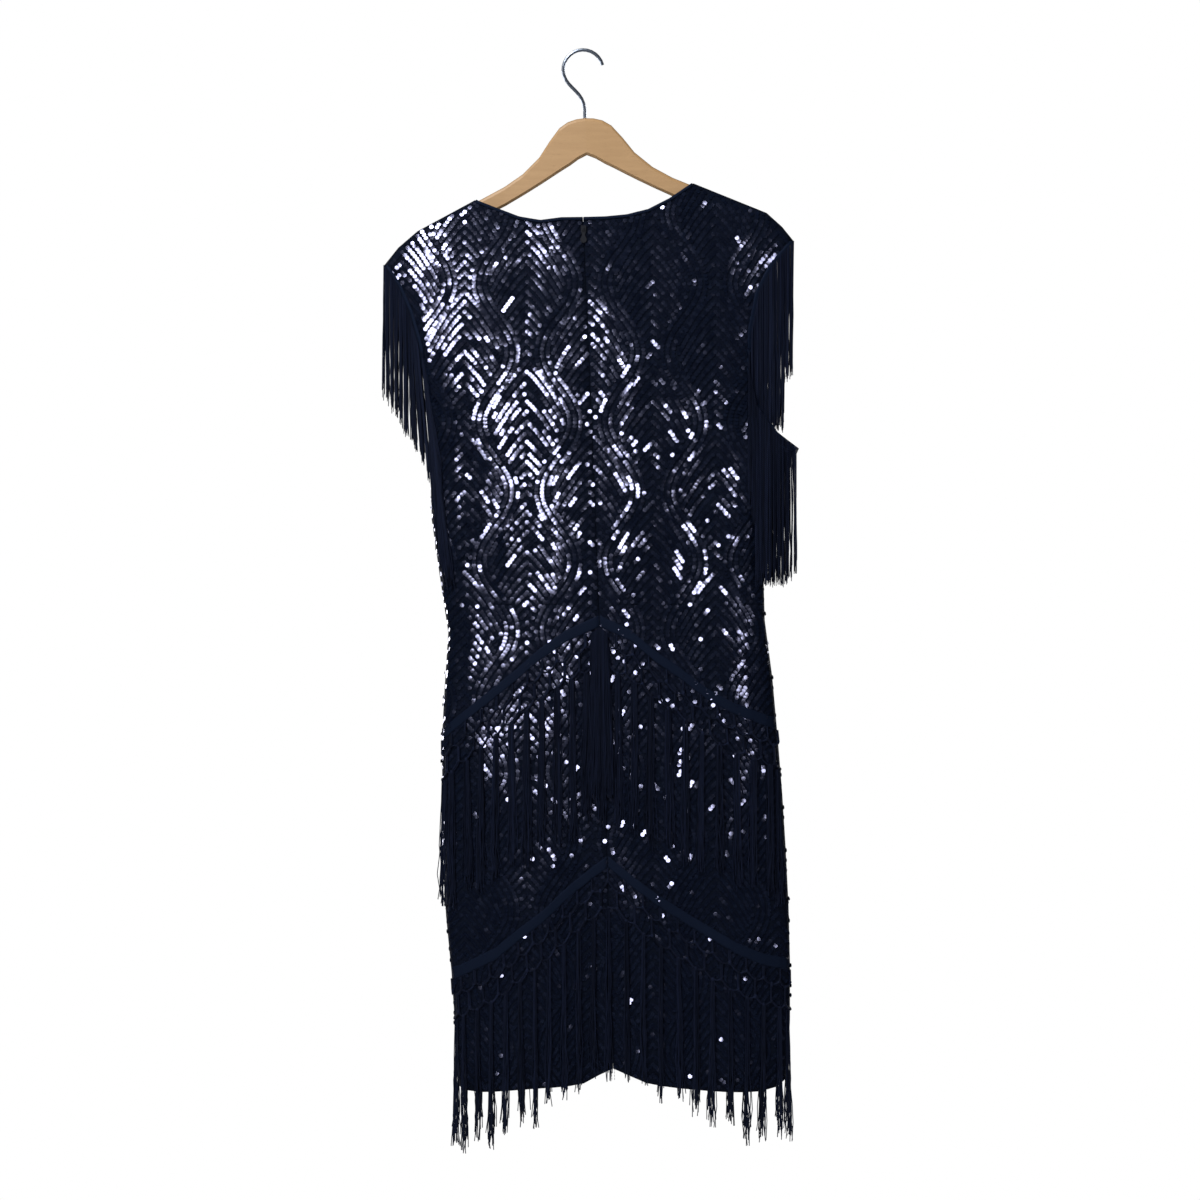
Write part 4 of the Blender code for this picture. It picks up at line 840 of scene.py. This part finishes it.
def thread_tree():
    tree, given = new_tree("hanging_threads", "Paths",
                           {"Threads": 6, "Points": 7, "Thread Radius": 0.4 * MM, "Root Spread": 0.6 * MM,
                            "Tip Spread": 2.5 * MM, "Outward": 1.0 * MM, "Uneven": 6.0 * MM,
                            "Wander": 1.0 * MM, "Seed": 1})
    paths = add_node(tree, "GeometryNodeMeshToCurve", links={"Mesh": given["Paths"]})
    even = add_node(tree, "GeometryNodeResampleCurve", links={"Curve": paths, "Count": given["Points"]})
    copies = add_node(tree, "GeometryNodeDuplicateElements", {"domain": "SPLINE"},
                      links={"Geometry": even, "Amount": given["Threads"]})
    along = add_node(tree, "GeometryNodeSplineParameter").outputs["Factor"]
    thread = add_node(tree, "GeometryNodeCurveOfPoint")
    spread = add_node(tree, "ShaderNodeMapRange",
                      links={"Value": along, "To Min": given["Root Spread"], "To Max": given["Tip Spread"]})
    stray = add_node(tree, "FunctionNodeRandomValue", {"data_type": "FLOAT_VECTOR"},
                     values={0: (-1.0, 0.0, 0.0), 1: (1.0, 1.0, 1.0)},
                     links={"ID": thread.outputs["Curve Index"], "Seed": given["Seed"]}).outputs[0]
    parts = add_node(tree, "ShaderNodeSeparateXYZ", links={"Vector": stray}).outputs
    across = times(tree, parts["X"], spread)
    outward = times(tree, parts["Y"], given["Outward"])
    shorter = times(tree, times(tree, parts["Z"], given["Uneven"]), along)
    shift = add_node(tree, "ShaderNodeCombineXYZ", links={"X": across, "Y": outward, "Z": shorter})
    place = add_node(tree, "GeometryNodeInputPosition")
    apart = add_node(tree, "ShaderNodeVectorMath", {"operation": "SCALE"}, values={"Scale": 0.2},
                     links={0: stray})
    drift = add_node(tree, "ShaderNodeTexNoise", values={"Scale": 24.0, "Detail": 0.0},
                     links={"Vector": plus(tree, place, apart)})
    centred = add_node(tree, "ShaderNodeMath", {"operation": "SUBTRACT"}, values={1: 0.5}, links={0: drift})
    wander = times(tree, times(tree, centred, given["Wander"]), along)
    sway = add_node(tree, "ShaderNodeCombineXYZ", links={"X": wander})
    hung = add_node(tree, "GeometryNodeSetPosition",
                    links={"Geometry": copies, "Offset": plus(tree, shift, sway)})
    ring = add_node(tree, "GeometryNodeCurvePrimitiveCircle", values={"Resolution": 3},
                    links={"Radius": given["Thread Radius"]})
    solid = add_node(tree, "GeometryNodeCurveToMesh", values={"Fill Caps": True},
                     links={"Curve": hung, "Profile Curve": ring})
    finish_tree(tree, solid, given["Material"])
    return tree


def paths_mesh(name, paths):
    """Polylines as loose edges."""
    points = []
    edges = []
    for path in paths:
        first = len(points)
        points.extend(path)
        edges.extend((first + i, first + i + 1) for i in range(len(path) - 1))
    mesh = bpy.data.meshes.new(name)
    mesh.from_pydata(points, edges, [])
    return mesh


def hang_path(side, x, top, bottom, off, drift=0.0, steps=6):
    """A path straight down from a root, which keeps as far out as the cloth above it pushed it."""
    path = []
    depth = 0.0
    for step in range(steps + 1):
        share = step / steps
        z = top + (bottom - top) * share
        at = x + drift * share
        depth = max(depth, cloth_depth(side, at * MM, z * MM))
        path.append(Vector((at * MM, side * (depth + off * MM), z * MM)))
    return path


THREAD_TREE = thread_tree()


def run_threads(name, paths, threads, points, radius, seed, spread=(0.0, 0.0), outward=0.0, uneven=0.0,
                wander=0.0):
    """Hangs bundles of threads on paths; radius, spread at root and tip, and the rest in millimetres."""
    sizes = {"Thread Radius": radius, "Root Spread": spread[0], "Tip Spread": spread[1],
             "Outward": outward, "Uneven": uneven, "Wander": wander}
    return run_tree(name, THREAD_TREE, paths_mesh(name + "_paths", paths), "braid", Threads=threads,
                    Points=points, Seed=seed, Material=THREAD,
                    **{word: size * MM for word, size in sizes.items()})


print("tree:", THREAD_TREE.name)

# %% [markdown]
# ## The chevron trims: tape, net and tassels
#
# Each trim is bought by the metre: a woven tape, a net knotted from cords under it, and a tassel
# under each lowest knot. Its places come from the cloth, where even steps round the body crowd
# together near the side seams when they are seen from behind.

# %% Places along a trim
EVEN_PLACES = (0.0, 0.0945, 0.189, 0.2835, 0.3779, 0.4724, 0.5667, 0.661, 0.755, 0.8483, 0.9395, 1.0)
LAST_STEP = len(EVEN_PLACES) - 1
END_PITCH = 10.97
TAPE_WIDTH = 13.8
TAPE_COLUMNS = 176
LOOP = 0.35
NET_ROWS = (0.0, 14.0, 20.0, 39.0, 45.0)
NET_SAG = 1.4
CORD_LIFT = 2.5
KNOT_LIFT = 2.6
TASSEL_LIFT = 2.2
END_TASSEL_INSET = 2.5
TIP_UNEVEN = 7.0
TIP_RAISE = 3.0
TIP_DRIFT = 1.5

Rib = namedtuple("Rib", "across lift")
RIBS = [Rib(-0.5, 0.6), Rib(-0.44, 1.6), Rib(-0.3, 1.2), Rib(-0.16, 1.7), Rib(0.0, 1.2), Rib(0.16, 1.7),
        Rib(0.3, 1.2), Rib(0.44, 1.6), Rib(0.5, 0.6)]


def trim_x(pitch, z):
    """x at a number of even steps right of the middle, at a height, in millimetres."""
    whole = min(int(abs(pitch)), LAST_STEP - 1)
    place = EVEN_PLACES[whole] + (EVEN_PLACES[whole + 1] - EVEN_PLACES[whole]) * (abs(pitch) - whole)
    middle = seam_x(z)
    edge = read_line(SIDE_SEAMS, z, 2 if pitch > 0 else 1)
    return middle + place * (edge - middle)


def trim_z(line, pitch):
    """The tape's middle line at a step, found where the line crosses that step's own upright."""
    z = line[len(line) // 2][1]
    for _ in range(8):
        z = read_line(line, trim_x(pitch, z))
    return z


def trim_point(side, line, pitch, drop, off):
    """A point of a trim, drop millimetres below its tape's lower edge and off the cloth."""
    z = trim_z(line, pitch) - TAPE_WIDTH / 2 - drop
    pitch = max(-END_PITCH, min(END_PITCH, pitch))
    x = trim_x(pitch, z)
    return Vector((x * MM, side * (cloth_depth(side, x * MM, z * MM) + off * MM), z * MM))


def woven_tape(name, side, line):
    """A ribbed strip: ribs along it, and small loops along both edges."""
    points = []
    for i in range(TAPE_COLUMNS + 1):
        pitch = LAST_STEP * (2 * i / TAPE_COLUMNS - 1)
        for rib in RIBS:
            edge = math.copysign(LOOP * (i % 2), rib.across) if abs(rib.across) == 0.5 else 0.0
            points.append(trim_point(side, line, pitch, -TAPE_WIDTH * (0.5 - rib.across) + edge, rib.lift))
        points.append(trim_point(side, line, pitch, -TAPE_WIDTH * 0.05, 0.35))
        points.append(trim_point(side, line, pitch, -TAPE_WIDTH * 0.95, 0.35))
    return closed_piece(name, points, len(RIBS) + 2)


def net_paths(side, line):
    """Cords down at each step, then slanting to meet half a step away, twice, as in a fishing net."""
    cords = []
    knots = []
    top, fork, meet, again, end = NET_ROWS
    for step in range(-LAST_STEP, LAST_STEP + 1):
        cords.append([(step, top), (step, fork)])
        knots.append((step, fork))
        knots.append((step, end))
    for step in range(-LAST_STEP, LAST_STEP):
        middle = step + 0.5
        cords += [[(step, fork), (middle, meet)], [(step + 1, fork), (middle, meet)],
                  [(middle, meet), (middle, again)],
                  [(middle, again), (step, end)], [(middle, again), (step + 1, end)]]
        knots += [(middle, meet), (middle, again)]
    paths = []
    for (pitch, drop), (end_pitch, end_drop) in cords:
        path = []
        for i in range(4):
            share = i / 3
            sag = NET_SAG * math.sin(math.pi * share) if pitch != end_pitch else 0.0
            path.append(trim_point(side, line, pitch + (end_pitch - pitch) * share,
                                   drop + (end_drop - drop) * share + sag, CORD_LIFT))
        paths.append(path)
    return paths, [trim_point(side, line, pitch, drop, KNOT_LIFT) for pitch, drop in knots]


def knot_tree():
    tree, given = new_tree("tied_knots", "Marks", {"Radius": 2.0 * MM, "Seed": 5})
    knot = add_node(tree, "GeometryNodeMeshIcoSphere", values={"Subdivisions": 2},
                    links={"Radius": given["Radius"]})
    size = add_node(tree, "FunctionNodeRandomValue", {"data_type": "FLOAT_VECTOR"},
                    values={0: (0.75, 0.7, 0.8), 1: (1.1, 0.9, 1.5)}, links={"Seed": given["Seed"]})
    tied = add_node(tree, "GeometryNodeInstanceOnPoints",
                    links={"Points": given["Marks"], "Instance": knot, "Scale": size})
    finish_tree(tree, tied, given["Material"])
    return tree


KNOT_TREE = knot_tree()


def tassel_paths(side, line, tips):
    """One path for each tassel, from its knot to its tip."""
    paths = []
    for step in range(-LAST_STEP, LAST_STEP + 1):
        root = trim_point(side, line, step, NET_ROWS[-1], 0.0)
        x = root.x / MM - (math.copysign(END_TASSEL_INSET, step) if abs(step) == LAST_STEP else 0.0)
        tip = read_line(tips, x) - TIP_UNEVEN * math.sin(2.4 * step + 1.0) + TIP_RAISE
        drift = TIP_DRIFT * math.sin(1.9 * step)
        paths.append(hang_path(side, x, root.z / MM, tip, TASSEL_LIFT, drift))
    return paths


Trim = namedtuple("Trim", "word line tips threads spread")
TRIMS = [Trim(word="upper", line=UPPER_LINE, tips=UPPER_TIPS, threads=20, spread=(3.0, 5.2)),
         Trim(word="lower", line=LOWER_LINE, tips=LOWER_TIPS, threads=14, spread=(1.9, 3.3))]


def dress_trim(trim, side, seed):
    """All the pieces of one trim; its tape stands for its solid."""
    label = trim.word + "_trim_" + SIDE_WORDS[side]
    tape = woven_tape(label + "_tape", side, trim.line)
    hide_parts(label)
    cords, knots = net_paths(side, trim.line)
    run_threads(label + "_net", cords, 5, 5, 0.75, seed, spread=(1.2, 1.2), outward=side * 0.6, wander=1.2)
    ties = marks_mesh(label + "_knot_marks", knots, [Vector()] * len(knots))
    run_tree(label + "_knots", KNOT_TREE, ties, "braid", Radius=2.1 * MM, Seed=seed, Material=THREAD)
    run_threads(label + "_tassels", tassel_paths(side, trim.line, trim.tips), trim.threads, 8, 0.55, seed + 1,
                spread=trim.spread, outward=side * 1.6, uneven=26.0, wander=12.0)


seed = 20
for trim in TRIMS:
    for side in (BACK, FRONT):
        dress_trim(trim, side, seed)
        seed += 3

# %% [markdown]
# ## Loose threads under the upper point
#
# The ends of the upper trim meet at its point and are knotted off there, which leaves a thick bunch
# of loose threads that hangs over the net as far as the tassels' tips.

# %% A bunch of threads
BUNCH_LEFT = 3.0
BUNCH_RIGHT = 34.0
BUNCH_MIDDLE = 19.0
BUNCH_STRINGS = 18
BUNCH_TIP = -862.0
BUNCH_LIFT = 4.2
BUNCH_UNEVEN = 34.0
BUNCH_DRIFT = 4.0
GATHERED = 0.45
bunch = []
for number in range(BUNCH_STRINGS):
    x = BUNCH_LEFT + (BUNCH_RIGHT - BUNCH_LEFT) * number / (BUNCH_STRINGS - 1)
    top = read_line(UPPER_LINE, x) - TAPE_WIDTH / 2
    tip = BUNCH_TIP + BUNCH_UNEVEN * smooth_noise(number * 0.7, 2.0, 3.0)
    root = GATHERED * (x - BUNCH_MIDDLE)
    drift = root + BUNCH_DRIFT * smooth_noise(number * 0.5, 8.0, 1.0)
    bunch.append(hang_path(BACK, x - root, top, tip, BUNCH_LIFT, drift, 8))
run_threads("upper_trim_bunch", bunch, 7, 9, 0.5, 61, spread=(0.8, 1.6), outward=BACK * 2.0, uneven=26.0,
            wander=6.0)

# %% [markdown]
# ## Seams and the coil of the zip
#
# The centre-back seam, the side seams and the foot of the neck binding are stitched with short
# overlock stitches. Inside the centre seam lies the zip: a narrow tape and the turns of its coil.

# %% Stitches and zip coil
STITCH = 2.4
STITCH_PITCH = 3.6
STITCH_LOW = 0.25
STITCH_RISE = 0.35
SEAM_HEAD = -212
SEAM_FOOT = -1190
SIDE_SEAM_TOP = -520
SIDE_SEAM_FOOT = -1180
ZIP_TOP = -203.0
ZIP_FOOT = -560.0
COIL_PITCH = 1.3
ZIP_TAPE_TOP = -197
ZIP_TAPE_HALF = 8.0
ZIP_TAPE_THICK = 0.6
ZIP_LEAST_DEPTH = 2.2
ZIP_CLEARANCE = 0.4


def stitch_paths(side, line):
    """One short stitch at each step of a line of x and z, laid on the skin."""
    paths = []
    for mark in sewn_along(line, STITCH_PITCH):
        ends = []
        for share in (0.0, 0.5, 1.0):
            x = mark.x + mark.way.x * STITCH * share
            z = mark.z + mark.way.y * STITCH * share
            lift = STITCH_LOW + STITCH_RISE * math.sin(math.pi * share)
            y = cloth_depth(side, x * MM, z * MM) + lift * MM
            ends.append(Vector((x * MM, side * y, z * MM)))
        paths.append(ends)
    return paths


seams = []
for beside in (-1.6, 1.6):
    seams += stitch_paths(BACK, [(seam_x(z) + beside, z) for z in range(SEAM_HEAD, SEAM_FOOT, -6)])
for side in (BACK, FRONT):
    for column, inward in ((1, 2.6), (2, -2.6)):
        seams += stitch_paths(side, [(read_line(SIDE_SEAMS, z, column) + inward, z)
                                     for z in range(SIDE_SEAM_TOP, SIDE_SEAM_FOOT, -6)])
for side, line in NECK_LINES:
    seams += stitch_paths(side, [(place.x / MM, place.z / MM - 3.4) for place in line])
run_threads("seam_stitches", seams, 1, 3, 0.3, 71)


def inner_depth(side, x, z):
    """How far in the panel's inner face lies, in metres."""
    place, _, _, _ = SKINS[side].ray_cast(Vector((x, 0.0, z)), Vector((0, side, 0)))
    return abs(place.y) if place else 0.0


def zip_depth(z):
    """How far out the zip's tape lies at a height, just inside both panels; in millimetres."""
    x = seam_x(z)
    room = min(inner_depth(BACK, (x + across) * MM, z * MM) for across in (-7, -3, 3, 7)) / MM
    return max(ZIP_LEAST_DEPTH, room - ZIP_CLEARANCE)


zip_tape = []
for z in range(ZIP_TAPE_TOP, int(ZIP_FOOT) - 12, -6):
    y = zip_depth(z)
    for across, lift in ((-ZIP_TAPE_HALF, 0.0), (ZIP_TAPE_HALF, 0.0), (ZIP_TAPE_HALF, ZIP_TAPE_THICK),
                         (-ZIP_TAPE_HALF, ZIP_TAPE_THICK)):
        zip_tape.append(Vector((seam_x(z) + across, -(y - lift), z)) * MM)
closed_piece("zip_tape", zip_tape, 4)

TURN = ((-2.2, 0.0, 0.0), (-1.0, 0.9, 0.2), (1.0, 0.9, 0.4), (2.2, 0.0, 0.6))
coil = []
z = ZIP_TOP
while z > ZIP_FOOT:
    x = seam_x(z)
    y = zip_depth(z) - 1.0
    coil.append([Vector((x + across, -(y - lift), z + rise)) * MM for across, lift, rise in TURN])
    z -= COIL_PITCH
run_threads("zip_coil", coil, 1, 4, 0.35, 72)

# %% [markdown]
# ## The fringe round the armholes
#
# A narrow chainette fringe is sewn along each armhole. Its threads have one length, so their tips draw
# the armhole's own curve lower down. Where the edge turns under the arm they lie on the body. Toward
# their tips they cling together in strands, and on the right some hang down to fill the notch there.

# %% Armhole fringe
FRINGE_LENGTH = 152.0
ROOT_STEP = 1.15
STRAND_STEP = 5.0
THREAD_STEPS = 6
BODY_BELOW = -345.0
LEFT_DRIFT_TOP = -290.0
LEFT_DRIFT_X = -176.0
FREE_X = 234.0
NOTCH_X = 232.5
NOTCH_TOP = -330.0
NOTCH_FOOT = -438.0
UNDERARM = -400.0
UNDERARM_LEVEL = -464.0
SLIT_TOP = -440.0
SLIT_X = 240.0
SLIT_WIDTH = 3.0
LENGTH_ERROR = 7.0
STRAND_DRIFT = 1.2
FOOT_RIPPLE = 5.0
CLINGING = 0.92
LOOSE = 0.45
LEFT_DRIFT_FALL = 55.0
UNDERARM_RISE = 1.3
UNDERARM_X = 235.0


def left_drift(root, x, bottom, number, drift):
    """The lower a thread starts at the left armhole, the further in it ends, so it lies on the body."""
    if root.y < BODY_BELOW:
        return max(drift, read_line(SIDE_SEAMS, bottom, 1) + 2.0 + 2.8 * (number % 5) - x)
    if root.y < LEFT_DRIFT_TOP:
        return drift + (LEFT_DRIFT_TOP - root.y) / LEFT_DRIFT_FALL * max(0.0, LEFT_DRIFT_X - x)
    return drift


def right_bottom(root, x, length, ripple):
    """Where the right armhole's threads end: level in the notch, and again under the arm."""
    if root.y > NOTCH_TOP and root.x < NOTCH_X:
        return root.y - max(length, root.y - NOTCH_FOOT + ripple)
    if root.y < UNDERARM:
        return UNDERARM_LEVEL - length + UNDERARM_RISE * max(0.0, x - UNDERARM_X)
    return root.y - length


def armhole_threads(side, edge, way_in):
    """Thread paths a little over a millimetre apart along an armhole's edge."""
    paths = []
    for number, root in enumerate(walk(edge, ROOT_STEP)):
        over_body = root.y < BODY_BELOW
        x = root.x + way_in * (3.5 if over_body else 0.8)
        length = FRINGE_LENGTH + LENGTH_ERROR * smooth_noise(number * 0.31, side * 3.0, way_in * 5.0)
        strand = STRAND_STEP * round(x / STRAND_STEP)
        gather = CLINGING if way_in > 0 or x > FREE_X else LOOSE
        drift = gather * (strand - x) + STRAND_DRIFT * smooth_noise(strand * 0.4, 7.0, way_in * 2.0)
        if way_in > 0:
            bottom = root.y - length
            drift = left_drift(root, x, bottom, number, drift)
        else:
            bottom = right_bottom(root, x, length, FOOT_RIPPLE * smooth_noise(number * 0.4, side, 1.0))
            if root.y < SLIT_TOP and abs(x - SLIT_X) < SLIT_WIDTH / 2:
                continue
        if over_body:
            paths.append(hang_path(side, x, root.y, bottom, TASSEL_LIFT, drift))
        else:
            y = side * (skin_depth(side, (root.x + way_in * 3.0) * MM, root.y * MM) / MM + 1.6)
            fall = Vector((drift, 0.0, bottom - root.y)) / THREAD_STEPS
            paths.append([(Vector((x, y, root.y)) + fall * k) * MM for k in range(THREAD_STEPS + 1)])
    return paths


HEADING = ((0.2, 0.5), (0.2, 1.5), (2.0, 1.2), (3.4, 1.7), (5.0, 1.2), (6.2, 0.5))


def fringe_band(name, side, edge, way_in):
    """The chainette heading: a narrow ribbed strip along the armhole's edge."""
    points = []
    for place in walk(edge, 4.0):
        for inward, lift in HEADING:
            x = (place.x + way_in * inward) * MM
            y = skin_depth(side, (place.x + way_in * max(inward, 2.0)) * MM, place.y * MM) + lift * MM
            points.append(Vector((x, side * y, place.y * MM)))
    return closed_piece(name, points, len(HEADING))


seed = 40
for word, edge, way_in in (("left", LEFT_ARMHOLE, 1), ("right", RIGHT_ARMHOLE, -1)):
    for side in (BACK, FRONT):
        label = "fringe_" + word + "_" + SIDE_WORDS[side]
        band = fringe_band(label + "_band", side, edge, way_in)
        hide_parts(label)
        run_threads(label + "_threads", armhole_threads(side, edge, way_in), 3, 8, 0.5, seed,
                    spread=(0.7, 0.8), outward=side * 2.0, uneven=22.0, wander=4.0)
        seed += 1

# %% [markdown]
# ## Floor, light and camera
#
# A dress this dark is lit so that its sequins catch light. A softbox in front and to the left flashes in
# the discs that face it, a small one at the right in a few more, and one from high up shades the cloth
# and the wood. Two behind the dress light its front. The room is a dim blue that only the camera sees
# as white, and a long lens keeps the dress flat.

# %% Studio
FLOOR_HALF = 1.3
FLOOR_Z = -1.62


def pale_floor():
    mesh = bpy.data.meshes.new("studio_floor")
    shape = bmesh.new()
    bmesh.ops.create_grid(shape, x_segments=1, y_segments=1, size=FLOOR_HALF)
    bmesh.ops.translate(shape, verts=shape.verts[:], vec=(0, 0, FLOOR_Z))
    shape.to_mesh(mesh)
    shape.free()
    made = link_object("studio_floor", mesh)
    made.data.materials.append(new_material("painted_studio_floor", Roughness=0.9, Specular_IOR_Level=0.0,
                                            Base_Color=hex_colour("FFFFFF"))[0])


def softbox(name, place, aim, size, watts):
    lamp = bpy.data.lights.new(name, "AREA")
    lamp.shape = "RECTANGLE"
    lamp.size, lamp.size_y = size
    lamp.energy = watts
    made = link_object(name, lamp)
    made.location = place
    made.rotation_euler = (Vector(aim) - Vector(place)).to_track_quat("-Z", "Y").to_euler()
    made.visible_camera = False


def studio_world():
    world = bpy.data.worlds.new("studio_world")
    world.use_nodes = True
    tree = world.node_tree
    room = tree.nodes["Background"]
    room.inputs["Color"].default_value = hex_colour("BCD0F4")
    room.inputs["Strength"].default_value = 0.036
    seen = add_node(tree, "ShaderNodeBackground", values={"Color": hex_colour("FFFFFF"), "Strength": 1.0})
    path = add_node(tree, "ShaderNodeLightPath")
    both = add_node(tree, "ShaderNodeMixShader",
                    links={0: path.outputs["Is Camera Ray"], 1: room.outputs[0], 2: seen})
    tree.links.new(both.outputs[0], tree.nodes["World Output"].inputs["Surface"])
    bpy.context.scene.world = world


pale_floor()
studio_world()
softbox("sequin_softbox", (-0.66, -2.7, 0.07), (-0.1, 0.0, -0.4), (0.68, 0.66), 20.0)
softbox("right_softbox", (1.3, -2.5, -0.1), (0.15, 0.0, -0.4), (0.3, 0.3), 3.0)
softbox("high_softbox", (-1.0, -1.6, 1.5), (0.0, 0.0, -0.3), (0.9, 0.6), 50.0)
softbox("rear_softbox", (1.6, 2.4, 0.1), (0.0, 0.0, -0.6), (1.0, 1.0), 34.0)
softbox("rear_low_softbox", (-2.0, 2.2, -0.4), (0.0, 0.0, -0.7), (1.0, 1.0), 30.0)

PHOTO_MM = 1.147
PHOTO_SIDE = 1200
HOOK_X = 583
HOOK_Y = 49
VIEW_DISTANCE = 4.2
BACK_DEPTH = 0.02
camera_data = bpy.data.cameras.new("camera")
camera_data.sensor_width = 36.0
camera_data.lens = 36.0 * VIEW_DISTANCE / (PHOTO_SIDE * PHOTO_MM * MM)
camera = link_object("camera", camera_data)
camera.location = ((PHOTO_SIDE / 2 - HOOK_X) * PHOTO_MM * MM, -VIEW_DISTANCE - BACK_DEPTH,
                   -(PHOTO_SIDE / 2 - HOOK_Y) * PHOTO_MM * MM)
camera.rotation_euler = (math.pi / 2, 0, 0)
bpy.context.scene.camera = camera
bpy.context.scene.view_settings.view_transform = "Standard"
print("camera", tuple(round(c, 3) for c in camera.location))

# %% [markdown]
# ## The end
#
# Last, the view layer is brought up to date.

bpy.context.view_layer.update()
